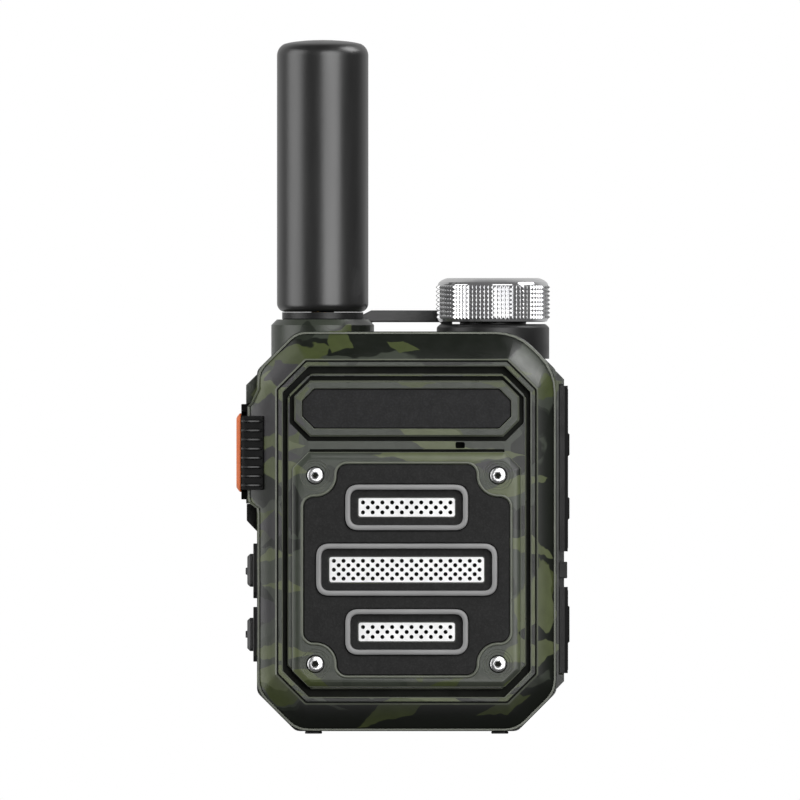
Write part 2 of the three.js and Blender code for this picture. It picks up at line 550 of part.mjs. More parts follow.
const knobCollar = () => {
  const { radius, bore, low, high } = KNOB_COLLAR;
  return turned([[bore, low], [radius, low], [radius, high - 0.7], [radius - 0.7, high], [bore, high],
    [bore, low]], 48).translate(KNOB.x, 0, 0);
};

function lanyardBar() {
  const { left, right, post, low, high, front, back } = BRIDGE;
  const outline = corners(
    [left, CASE.deck], [left + post, CASE.deck], [left + post, low],
    [right - post, low], [right - post, CASE.deck], [right, CASE.deck],
    [right, high - 0.9], [right - 1.2, high], [left + 2, high], [left, high - 1]);
  return facing(FACING_FRONT, prism(outline, back, front));
}

// ---------------------------------------------------------------- the left side

function pttFrame() {
  const plate = facing(FACING_LEFT,
    prism(octagonAt(0, RAIL.front, PTT.low, PTT.high, 1.3), RAIL.floor, PTT.out));
  const keyHole = facing(FACING_LEFT, prism(
    octagonAt(-0.6, 4.5, PTT.keyLow - TRAVEL_GAP, PTT.keyHigh + TRAVEL_GAP, 1), ...THROUGH_SIDE));
  return cut(join(plate, pttPad(0)), keyHole);
}

function pttKey() {
  const cap = facing(FACING_LEFT, loft([
    { ring: octagonAt(-0.6, 4.2, PTT.keyLow, PTT.keyHigh, 0.9), at: 28.3 },
    { ring: octagonAt(-0.6, 4.2, PTT.keyLow, PTT.keyHigh, 0.9), at: 29.2 },
    { ring: octagonAt(-0.6, 3.6, PTT.keyLow + 0.8, PTT.keyHigh - 0.8, 0.9), at: PTT.keyOut },
  ]));
  return join(cap, box(-28.5, -24.9, -0.9, 2.9, 47.2, 51.2));
}

const sideSwitch = (z, half) => join(
  box(-SIDE_SWITCH.out, -SIDE_SWITCH.inner, -0.6, 3, z - half, z + half),
  facing(FACING_LEFT, rod(SIDE_SWITCH.stem, SIDE_SWITCH.out - 0.6, SIDE_SWITCH.stemOut, 12))
    .translate(0, SIDE_SWITCH.y, z));

function sideKeyMat() {
  const bases = Object.values(SIDE_KEYS).map((key) => facing(FACING_LEFT, prism(
    octagonAt(SIDE_KEY.forward, SIDE_KEY.baseHalf, key.low, key.high, 1), 24, SIDE_KEY.base)));
  const holes = Object.values(SIDE_KEYS).map((key) => facing(FACING_LEFT, prism(
    rectangle(SIDE_KEY.forward - SIDE_KEY.keyHalf - GAP, SIDE_KEY.forward + SIDE_KEY.keyHalf + GAP,
      key.keyLow - GAP, key.keyHigh + GAP), ...THROUGH_SIDE)));
  const web = box(-24.35, -23.75, -2.8, 5.4, 11.6, 34.4);
  return cut(join(web, ...bases), ...holes);
}

const sideKey = (key) => join(
  facing(FACING_LEFT, loft([
    { ring: octagonAt(SIDE_KEY.forward, SIDE_KEY.keyHalf, key.keyLow, key.keyHigh, 0.4), at: 24.6 },
    { ring: octagonAt(SIDE_KEY.forward, SIDE_KEY.keyHalf, key.keyLow, key.keyHigh, 0.4), at: 27.4 },
    {
      ring: octagonAt(SIDE_KEY.forward, SIDE_KEY.keyHalf - 0.5, key.keyLow + 0.5, key.keyHigh - 0.5, 0.4),
      at: SIDE_KEY.out,
    },
  ])),
  box(-SIDE_KEY.pip, -27, -0.4, 2.8, key.pip - 0.6, key.pip + 0.6));

const railEndCap = () => facing(FACING_FRONT, prism(
  corners([-CASE.halfWidth, 35.4], [-CASE.halfWidth, RAIL.low - 0.05], [-28, RAIL.low - 0.05], [-28, 37.3]),
  RAIL.back, FORWARD.seamBack));

// ---------------------------------------------------------------- the right side

// A rubber flap hinged down its rear edge, with a shallow plug inside and finger bumps outside.
function portCover({ low, high, bumps, plug: [plugLow, plugHigh, depth] }) {
  const { out, bump, front, hingeX, hingeY, barrel, inner } = COVER;
  const ring = (inset) => rectangle(-front + inset, hingeY - inset / 2, low + inset, high - inset);
  const flap = facing(FACING_RIGHT, loft([
    { ring: ring(0), at: inner },
    { ring: ring(0), at: out - 0.6 },
    { ring: ring(0.6), at: out },
  ]));
  const pads = bumps.map(([from, to]) => facing(FACING_RIGHT, loft([
    { ring: rectangle(-1.6, 4.4, from, to), at: out - 0.3 },
    { ring: rectangle(-1.1, 3.9, from + 0.5, to - 0.5), at: bump },
  ])));
  return join(flap,
    rod(barrel, low, high, 16).translate(hingeX, hingeY, 0),
    box(inner - depth, inner + 0.3, -2.0, 2.4, plugLow, plugHigh),
    ...pads);
}

const coverBlock = () => box(STRIP.floor, 28.1, -3.0, COVER.hingeY, 27.2, 30.1);

const jackBlock = () => cut(
  box(18.5, 25.6, -JACK.half, JACK.half, JACK.low, JACK.high),
  facing(FACING_RIGHT, rod(1.8, 19.5, BEYOND_SIDE, 16)).translate(0, 0, JACK.middle + JACK.pitch / 2),
  facing(FACING_RIGHT, rod(1.3, 19.5, BEYOND_SIDE, 16)).translate(0, 0, JACK.middle - JACK.pitch / 2));

const usbSocket = () => {
  const { z, halfHeight, front, back, wall } = USB;
  return cut(box(19, 26.1, -front, -back, z - halfHeight, z + halfHeight),
    box(19.4, BEYOND_SIDE, -front + wall, -back - wall, z - halfHeight + wall, z + halfHeight - wall));
};

// ---------------------------------------------------------------- inside

const mainBoard = () => cut(
  facing(FACING_FRONT, prism(octagon(BOARD.halfWidth, BOARD.low, BOARD.high, 4), BOARD.back, BOARD.front)),
  ...bosses(BOSS.radius + 0.3, -10, 10));

const rfShield = () => {
  const { left, right, back, front, low, high, wall } = SHIELD;
  return cut(box(left, right, back, front, low, high),
    box(left + wall, right - wall, back + wall, front + 2, low + wall, high - wall));
};

const batteryPack = () => facing(FACING_FRONT, prism(
  rounded(rectangle(-BATTERY.halfWidth, BATTERY.halfWidth, BATTERY.low, BATTERY.high), BATTERY.round),
  BATTERY.back, BATTERY_BAY.front - GAP));

const batteryDoor = () => cut(
  facing(FACING_FRONT,
    prism(octagon(DOOR.halfWidth, DOOR.low, DOOR.high, DOOR.cut), FORWARD.back, DOOR.front)),
  facing(FACING_FRONT, rod(0.95, -20, 0, 12)).translate(0, 0, DOOR_SCREW.z),
  facing(FACING_FRONT, rod(DOOR_SCREW.head + GAP, -20, DOOR_SCREW.underHead, 16))
    .translate(0, 0, DOOR_SCREW.z));

const doorScrew = () => join(
  facing(FACING_FRONT, rod(DOOR_SCREW.head, -12.4, DOOR_SCREW.underHead, 16)),
  facing(FACING_FRONT, rod(DOOR_SCREW.shank, DOOR_SCREW.underHead - 0.1, DOOR_SCREW.tip, 12)))
  .translate(0, 0, DOOR_SCREW.z);

// ---------------------------------------------------------------- the belt clip

function beltClip() {
  const { pivotY, pivotZ, halfWidth, inner, outer, top, tip } = CLIP;
  const blade = facing(FACING_RIGHT, prism(corners(
    [inner, top], [inner, 18.5], [13.4, tip + 1.6], [13.4, tip], [15.4, tip], [outer, 17.6], [outer, top]),
    -halfWidth, halfWidth));
  const hub = facing(FACING_RIGHT, prism(corners(
    [pivotY - 1.9, pivotZ - 1], [pivotY - 0.8, pivotZ - 1.9],
    [outer - 0.4, pivotZ - 3], [outer - 0.4, pivotZ + 3],
    [pivotY - 0.8, pivotZ + 1.9], [pivotY - 1.9, pivotZ + 1],
  ), -halfWidth, halfWidth));
  return cut(join(blade, hub),
    facing(FACING_RIGHT, rod(CLIP_PIN.hole, -12, 12, 24)).translate(0, pivotY, pivotZ),
    facing(FACING_RIGHT, rod(2.2, -3.2, 3.2, 24)).translate(0, pivotY, pivotZ),
    box(-3.2, 3.2, 12, pivotY, pivotZ - 3, pivotZ + 3));
}

const clipPin = () => facing(FACING_RIGHT, rod(CLIP_PIN.radius, -LUG.outer, LUG.outer, 24))
  .translate(0, CLIP.pivotY, CLIP.pivotZ);

const clipSpring = () => facing(FACING_RIGHT,
  tube(CLIP_SPRING.radius, CLIP_SPRING.bore, -CLIP_SPRING.half, CLIP_SPRING.half, 16))
  .translate(0, CLIP.pivotY, CLIP.pivotZ);

// ---------------------------------------------------------------- materials

const finish = (color, roughness, metalness = 0) =>
  new THREE.MeshStandardMaterial({ color, roughness, metalness });

const printedShell = finish(0x3a3d33, 0.45);
const blackPlastic = finish(0x1c1c1c, 0.5);
const blackRubber = finish(0x161616, 0.75);
const darkGrey = finish(0x505050, 0.5);
const greyPlastic = finish(0x9a9a9a, 0.45);
const orangePlastic = finish(0xff6a1c, 0.45);
const steel = finish(0xb8b8bc, 0.3, 1);
const chrome = finish(0xd8d8dc, 0.12, 1);
const brass = finish(0xb89550, 0.35, 1);
const circuitBoard = finish(0x1f5a34, 0.5);
const darkWindow = finish(0x121214, 0.15);

// ---------------------------------------------------------------- assembly

const parts = new THREE.Group();

function add(name, geometry, material, x = 0, y = 0, z = 0) {
  const mesh = new THREE.Mesh(geometry, material);
  mesh.name = name;
  mesh.position.set(x, y, z);
  parts.add(mesh);
}

add('front_shell', frontShell(), printedShell);
add('rear_shell', rearShell(), printedShell);
add('shell_gasket', shellGasket(), blackRubber);
screwPlaces.forEach(({ x, z }, i) => add(`case_screw_${i + 1}`, caseScrew(), steel, x, 0, z));
add('foot_front_left', foot(), blackRubber, -FOOT.x, FOOT.frontY, 0);
add('foot_front_right', foot(), blackRubber, FOOT.x, FOOT.frontY, 0);
add('foot_rear_left', foot(), blackRubber, -FOOT.x, FOOT.backY, 0);
add('foot_rear_right', foot(), blackRubber, FOOT.x, FOOT.backY, 0);

add('display_window', displayWindow(), darkWindow);
add('display_module', displayModule(), darkGrey);
add('grille_frame', grilleFrame(), printedShell);
add('grille_plate', grillePlate(), blackPlastic);
for (const [place, window] of Object.entries(WINDOWS)) {
  add(`bezel_${place}`, bezel(window), greyPlastic);
  add(`mesh_${place}`, meshInsert(window), steel);
}
grilleScrewPlaces.forEach(({ x, z }, i) =>
  add(`grille_screw_${i + 1}`, grilleScrew(), chrome, x, 0, z));
add('microphone', microphone(), steel);
add('speaker', speaker(), darkGrey);
add('speaker_gasket', speakerGasket(), blackRubber);

add('antenna_sheath', antennaSheath(), blackRubber);
add('antenna_core', antennaCore(), brass);
add('antenna_base', antennaBase(), blackPlastic);
add('knob_cap', knobCap(), chrome);
add('knob_hub', knobHub(), blackPlastic);
add('volume_shaft', volumeShaft(), steel);
add('volume_pot', volumePot(), darkGrey);
add('pot_nut', potNut(), steel);
add('knob_collar', knobCollar(), blackPlastic);
add('lanyard_bar', lanyardBar(), darkGrey);

add('ptt_frame', pttFrame(), blackRubber);
add('ptt_key', pttKey(), orangePlastic);
add('ptt_switch', sideSwitch(49.2, 3), blackPlastic);
add('side_key_mat', sideKeyMat(), blackRubber);
add('side_key_upper', sideKey(SIDE_KEYS.upper), blackRubber);
add('side_key_lower', sideKey(SIDE_KEYS.lower), blackRubber);
add('side_switch_upper', sideSwitch(SIDE_KEYS.upper.pip, 2), blackPlastic);
add('side_switch_lower', sideSwitch(SIDE_KEYS.lower.pip, 2), blackPlastic);
add('rail_end_cap', railEndCap(), blackRubber);

add('jack_cover', portCover(COVERS.jack), blackRubber);
add('port_cover', portCover(COVERS.port), blackRubber);
add('cover_block', coverBlock(), blackRubber);
add('jack_block', jackBlock(), blackPlastic);
add('usb_socket', usbSocket(), steel);

add('main_board', mainBoard(), circuitBoard);
add('rf_shield', rfShield(), steel);
add('battery_pack', batteryPack(), darkGrey);
add('battery_door', batteryDoor(), printedShell);
add('door_screw', doorScrew(), steel);
add('belt_clip', beltClip(), blackPlastic);
add('clip_pin', clipPin(), steel);
add('clip_spring', clipSpring(), steel);

// The origin: under the middle of the whole object's box.
const radio = new THREE.Group();
radio.name = 'two_way_radio';
const bounds = new THREE.Box3().setFromObject(parts, true);
const middle = bounds.getCenter(vec(0, 0, 0));
parts.position.set(-middle.x, -middle.y, -bounds.min.z);
radio.add(parts);

export default radio;
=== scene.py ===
"""The looks of a pocket two-way radio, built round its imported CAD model."""
import json
import math

import bmesh
import bpy
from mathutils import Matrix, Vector
from mathutils.geometry import tessellate_polygon

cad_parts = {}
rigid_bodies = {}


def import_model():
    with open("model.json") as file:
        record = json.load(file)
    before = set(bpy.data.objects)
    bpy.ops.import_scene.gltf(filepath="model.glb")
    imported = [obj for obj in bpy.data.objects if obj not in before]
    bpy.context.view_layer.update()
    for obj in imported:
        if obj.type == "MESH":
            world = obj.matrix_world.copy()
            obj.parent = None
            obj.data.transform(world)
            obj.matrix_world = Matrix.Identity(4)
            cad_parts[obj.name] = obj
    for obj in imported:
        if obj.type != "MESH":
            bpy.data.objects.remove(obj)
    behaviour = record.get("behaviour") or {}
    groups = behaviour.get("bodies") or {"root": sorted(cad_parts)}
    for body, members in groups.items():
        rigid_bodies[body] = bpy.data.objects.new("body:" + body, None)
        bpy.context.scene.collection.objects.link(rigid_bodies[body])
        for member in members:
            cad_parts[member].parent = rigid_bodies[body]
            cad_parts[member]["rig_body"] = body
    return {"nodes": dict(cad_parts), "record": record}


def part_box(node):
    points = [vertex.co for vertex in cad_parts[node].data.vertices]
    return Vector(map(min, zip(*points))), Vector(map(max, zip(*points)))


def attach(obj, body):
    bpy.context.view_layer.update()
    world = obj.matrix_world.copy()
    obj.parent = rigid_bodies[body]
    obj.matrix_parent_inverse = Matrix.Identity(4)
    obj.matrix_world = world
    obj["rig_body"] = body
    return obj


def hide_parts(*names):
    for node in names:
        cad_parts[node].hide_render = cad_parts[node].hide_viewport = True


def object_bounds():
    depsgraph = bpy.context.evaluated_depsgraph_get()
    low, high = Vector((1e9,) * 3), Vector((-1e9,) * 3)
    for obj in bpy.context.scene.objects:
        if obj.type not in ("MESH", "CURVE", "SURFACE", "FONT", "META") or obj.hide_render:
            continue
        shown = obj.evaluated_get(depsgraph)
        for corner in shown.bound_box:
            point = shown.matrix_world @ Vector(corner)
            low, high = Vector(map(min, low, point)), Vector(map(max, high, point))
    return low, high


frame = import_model()
cad_low, cad_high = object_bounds()

MM = 0.001
ROUND_STEPS = 4
SMOOTH_ANGLE = math.radians(32)


# ---------------------------------------------------------------- places taken from the frame

def box_mm(node):
    """A node's lowest and highest corner, in millimetres."""
    low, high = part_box(node)
    return low / MM, high / MM


def middle(node):
    low, high = box_mm(node)
    return (low + high) / 2


def size(node):
    low, high = box_mm(node)
    return high - low


def heights(node):
    """The heights of a node's bottom and top."""
    low, high = box_mm(node)
    return low.z, high.z


MIDDLE_X = middle("grille_frame").x
AXIS_Y = middle("antenna_sheath").y


def facing_front(u, v, at):
    """u to the right of the case's middle, v up, at forward of the antenna's axis."""
    return Vector((MIDDLE_X + u, AXIS_Y - at, v)) * MM


def forward_of(node):
    """How far forward a node's front face is, measured from the antenna's axis."""
    return AXIS_Y - box_mm(node)[0].y


def facing_back(u, v, at):
    """u to the left seen from behind, v up, at backward of the antenna's axis."""
    return Vector((MIDDLE_X + u, AXIS_Y + at, v)) * MM


# ---------------------------------------------------------------- outlines, in millimetres

def rounded(corners, radii, steps=ROUND_STEPS):
    """A closed outline with each corner rounded by its own radius."""
    outline = []
    count = len(corners)
    for i, corner in enumerate(corners):
        radius = radii[i] if isinstance(radii, (list, tuple)) else radii
        here = Vector(corner)
        back = (Vector(corners[i - 1]) - here).normalized()
        onward = (Vector(corners[(i + 1) % count]) - here).normalized()
        reach = radius / math.tan(back.angle(onward) / 2)
        start = here + back * reach
        end = here + onward * reach
        for k in range(steps + 1):
            t = k / steps
            outline.append(start * (1 - t) ** 2 + here * 2 * t * (1 - t) + end * t * t)
    return outline


def octagon(half, low, high, cut):
    """A rectangle with its corners cut at 45 degrees, anticlockwise from the bottom left."""
    return [(-half + cut, low), (half - cut, low), (half, low + cut), (half, high - cut),
            (half - cut, high), (-half + cut, high), (-half, high - cut), (-half, low + cut)]


def rectangle(left, right, low, high):
    return [(left, low), (right, low), (right, high), (left, high)]


def circle(u, v, radius, count):
    return [Vector((u + radius * math.cos(2 * math.pi * k / count),
                    v + radius * math.sin(2 * math.pi * k / count))) for k in range(count)]


# ---------------------------------------------------------------- meshes

# The finishes a face can have: the piece's own material, painted deep shade, and a painted highlight on a lit
# edge.
PRINT, PAINTED_SHADE, EDGE = range(3)


def finished_mesh(name, work):
    """The mesh of a bmesh, with its faces turned outwards."""
    data = bpy.data.meshes.new(name)
    bmesh.ops.recalc_face_normals(work, faces=work.faces)
    work.to_mesh(data)
    work.free()
    return data


class Surface:
    """Points and faces of one closed surface, built from rings of points."""

    def __init__(self, place=facing_front):
        self.place = place
        self.points = []
        self.faces = []
        self.finish = {}

    def ring(self, outline, at):
        """Adds one outline at a depth, or with a depth of its own for each point."""
        first = len(self.points)
        depths = at if isinstance(at, (list, tuple)) else [at] * len(outline)
        for (u, v), depth in zip(outline, depths):
            self.points.append(self.place(u, v, depth))
        return list(range(first, len(self.points)))

    def wall(self, a, b, finish=PRINT):
        """Faces between two rings."""
        count = len(a)
        for i in range(count):
            j = (i + 1) % count
            self.finish[len(self.faces)] = finish
            self.faces.append((a[i], a[j], b[j], b[i]))

    def walls(self, rings, shaded=(), lit=()):
        """Walls between each ring and the next. shaded and lit number the ones painted in shade or painted
        lit.
        """
        for k, (a, b) in enumerate(zip(rings, rings[1:])):
            self.wall(a, b, PAINTED_SHADE if k in shaded else EDGE if k in lit else PRINT)

    def chain(self, *steps, shaded=(), lit=()):
        """A row of walls through (outline, depth) pairs. Gives its first and last ring."""
        rings = [self.ring(outline, at) for outline, at in steps]
        self.walls(rings, shaded, lit)
        return rings[0], rings[-1]

    def cover(self, outer, *holes, finish=PRINT):
        """A flat face inside one ring, with holes."""
        loops = [outer, *holes]
        index = [i for loop in loops for i in loop]
        drawn = [[self.points[i] / MM for i in loop] for loop in loops]
        for triangle in tessellate_polygon(drawn):
            self.finish[len(self.faces)] = finish
            self.faces.append(tuple(index[k] for k in triangle))

    def mesh(self, name):
        """The surface as a mesh, with the materials for painted shade and painted highlights if any of its
        faces needs one.
        """
        work = bmesh.new()
        verts = [work.verts.new(p) for p in self.points]
        for number, face in enumerate(self.faces):
            made = work.faces.new([verts[i] for i in face])
            made.material_index = self.finish[number]
        data = finished_mesh(name, work)
        if any(self.finish.values()):
            for finish in ("camouflage_shell", "groove_shade", "lit_edge"):
                data.materials.append(MATERIALS[finish])
        return data


def smooth(data, angle=SMOOTH_ANGLE):
    data.shade_smooth()
    data.set_sharp_from_angle(angle=angle)


def piece(name, data, material, body, slot, *nodes):
    """Makes a mesh a piece that rides on a body and stands for CAD nodes. A mesh with finishes of its
    own keeps them after the first."""
    obj = bpy.data.objects.new(name, data)
    bpy.context.scene.collection.objects.link(obj)
    if data.materials:
        data.materials[0] = material
    else:
        data.materials.append(material)
    smooth(data)
    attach(obj, body)
    if nodes:
        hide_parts(*nodes)
    return obj


def stand_in(node, ending, data, look):
    """A piece that takes one CAD node's place, on its body."""
    return piece(node + ending, data, MATERIALS[look], frame["nodes"][node]["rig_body"], SLOT_OF[node], node)


def turned(name, centre, profile, count=96):
    """A surface turned about an upright axis, from [radius, height] points that start and end on it
    or close on themselves."""
    work = bmesh.new()
    rings = []
    for radius, height in profile:
        if radius == 0:
            rings.append([work.verts.new(Vector((centre.x, centre.y, height)) * MM)])
            continue
        rings.append([work.verts.new(Vector((centre.x + u, centre.y + v, height)) * MM)
                      for u, v in circle(0, 0, radius, count)])
    closed = len(rings[0]) > 1
    for a, b in zip(rings, rings[1:] + (rings[:1] if closed else [])):
        bridge(work, a, b, count)
    return finished_mesh(name, work)


def bridge(work, a, b, count):
    """Faces between two rings, either of which may be a single point."""
    for i in range(count):
        j = (i + 1) % count
        if len(a) == 1 and len(b) == 1:
            return
        if len(a) == 1:
            work.faces.new((a[0], b[j], b[i]))
        elif len(b) == 1:
            work.faces.new((a[i], a[j], b[0]))
        else:
            work.faces.new((a[i], a[j], b[j], b[i]))


def arc(centre_r, centre_z, radius, start, end, steps):
    """Points of an arc in a turned profile. Angles in degrees, 0 outward and 90 up."""
    return [(centre_r + radius * math.cos(math.radians(start + (end - start) * k / steps)),
             centre_z + radius * math.sin(math.radians(start + (end - start) * k / steps)))
            for k in range(steps + 1)]


WELD_DISTANCE = 0.002 * MM
FLAT_ANGLE = math.radians(1)
BEVEL_ANGLE = math.radians(28)


def from_cad(node, look, edge):
    """A copy of a CAD node's mesh with every sharp edge rounded by edge millimetres."""
    data = frame["nodes"][node].data.copy()
    data.name = node + "_skin"
    work = bmesh.new()
    work.from_mesh(data)
    bmesh.ops.remove_doubles(work, verts=work.verts, dist=WELD_DISTANCE)
    bmesh.ops.dissolve_limit(work, angle_limit=FLAT_ANGLE, verts=work.verts, edges=work.edges)
    for line in work.edges:
        line.smooth = True
    for face in work.faces:
        face.smooth = True
    work.to_mesh(data)
    work.free()
    obj = stand_in(node, "_skin", data, look)
    if data.has_custom_normals:
        bpy.context.view_layer.objects.active = obj
        with bpy.context.temp_override(object=obj, active_object=obj, selected_objects=[obj]):
            bpy.ops.mesh.customdata_custom_splitnormals_clear()
    rounding = obj.modifiers.new("soft_edges", "BEVEL")
    rounding.width = edge * MM
    rounding.segments = 2
    rounding.limit_method = "ANGLE"
    rounding.angle_limit = BEVEL_ANGLE
    rounding.use_clamp_overlap = True
    rounding.harden_normals = True
    return obj


def carved(data, *cutters):
    """The mesh with other closed meshes cut out of it."""
    target = bpy.data.objects.new("carving", data)
    bpy.context.scene.collection.objects.link(target)
    tools = []
    for cutter in cutters:
        tool = bpy.data.objects.new("cutter", cutter)
        bpy.context.scene.collection.objects.link(tool)
        tools.append(tool)
        step = target.modifiers.new("cut", "BOOLEAN")
        step.operation = "DIFFERENCE"
        step.solver = "EXACT"
        step.object = tool
    bpy.context.view_layer.update()
    evaluated = target.evaluated_get(bpy.context.evaluated_depsgraph_get())
    result = bpy.data.meshes.new_from_object(evaluated)
    for obj in [target, *tools]:
        bpy.data.objects.remove(obj)
    return result


# ---------------------------------------------------------------- materials

SLOT_OF = {part["node"]: part["material_slot"] for part in frame["record"]["subparts"]}


def linear(code):
    """A hex colour as linear RGBA."""
    def channel(text):
        value = int(text, 16) / 255
        return value / 12.92 if value <= 0.04045 else ((value + 0.055) / 1.055) ** 2.4
    return (channel(code[0:2]), channel(code[2:4]), channel(code[4:6]), 1.0)


class Look:
    """A node material with short calls for the nodes used below. Places are in millimetres."""

    def __init__(self, name, colour, roughness, metallic=0.0, specular=0.5):
        self.material = bpy.data.materials.new(name)
        self.material.use_nodes = True
        self.tree = self.material.node_tree
        self.shader = self.tree.nodes["Principled BSDF"]
        self.shader.inputs["Base Color"].default_value = linear(colour)
        self.shader.inputs["Roughness"].default_value = roughness
        self.shader.inputs["Metallic"].default_value = metallic
        self.shader.inputs["Specular IOR Level"].default_value = specular
        scale = self.node("ShaderNodeVectorMath", operation="SCALE")
        self.link(self.node("ShaderNodeTexCoord").outputs["Object"], scale.inputs[0])
        scale.inputs["Scale"].default_value = 1 / MM
        self.place = scale.outputs[0]

    def node(self, kind, **settings):
        made = self.tree.nodes.new(kind)
        for key, value in settings.items():
            setattr(made, key, value)
        return made

    def link(self, output, target):
        self.tree.links.new(output, target)

    def noise(self, grain, detail=2.0, place=None, output="Fac", stretch=None):
        """Noise whose features are about grain millimetres across."""
        made = self.node("ShaderNodeTexNoise")
        made.inputs["Scale"].default_value = 1 / grain
        made.inputs["Detail"].default_value = detail
        source = place or self.place
        if stretch:
            squeeze = self.node("ShaderNodeVectorMath", operation="MULTIPLY")
            self.link(source, squeeze.inputs[0])
            squeeze.inputs[1].default_value = stretch
            source = squeeze.outputs[0]
        self.link(source, made.inputs["Vector"])
        return made.outputs[output]

    def ramp(self, factor, *stops, constant=False):
        made = self.node("ShaderNodeValToRGB")
        made.color_ramp.interpolation = "CONSTANT" if constant else "LINEAR"
        elements = made.color_ramp.elements
        while len(elements) < len(stops):
            elements.new(0.5)
        for element, (position, colour) in zip(elements, stops):
            element.position = position
            element.color = colour if isinstance(colour, tuple) else linear(colour)
        self.link(factor, made.inputs["Fac"])
        return made.outputs["Color"]

    def grey(self, factor, *stops):
        return self.ramp(factor, *[(at, (v, v, v, 1.0)) for at, v in stops])

    def mix(self, factor, a, b, blend="MIX"):
        made = self.node("ShaderNodeMix", data_type="RGBA", blend_type=blend)
        for socket, value in zip((made.inputs["Factor"], made.inputs[6], made.inputs[7]), (factor, a, b)):
            if isinstance(value, (int, float, tuple)):
                socket.default_value = value
            else:
                self.link(value, socket)
        return made.outputs[2]

    def colour(self, output):
        self.link(output, self.shader.inputs["Base Color"])

    def roughness(self, factor, low, high):
        self.link(self.grey(factor, (0.3, low), (0.7, high)), self.shader.inputs["Roughness"])

    def bump(self, height, depth):
        """Bump from a 0 to 1 height, depth millimetres deep."""
        made = self.node("ShaderNodeBump")
        made.inputs["Strength"].default_value = 1.0
        made.inputs["Distance"].default_value = depth * MM
        self.link(height, made.inputs["Height"])
        self.link(made.outputs["Normal"], self.shader.inputs["Normal"])


def moulded(name, colour, other, roughness, grain=0.35, depth=0.012, specular=0.5):
    """A moulded plastic or rubber: fine grain, slight mottling and worn, shinier patches."""
    look = Look(name, colour, roughness, specular=specular)
    look.colour(look.ramp(look.noise(7.0, 3.0), (0.35, colour), (0.7, other)))
    look.roughness(look.noise(3.0, 3.0), roughness - 0.06, roughness + 0.06)
    look.bump(look.noise(grain, 2.0), depth)
    return look.material


def metal(name, colour, other, roughness, stretch=(1, 1, 1), metallic=1.0):
    """Bright metal with a fine brushed grain."""
    look = Look(name, colour, roughness, metallic=metallic)
    look.colour(look.ramp(look.noise(2.5, 3.0), (0.3, colour), (0.7, other)))
    look.roughness(look.noise(0.6, 3.0, stretch=stretch), roughness * 0.7, roughness * 1.3)
    look.bump(look.noise(0.6, 2.0, stretch=stretch), 0.003)
    return look.material
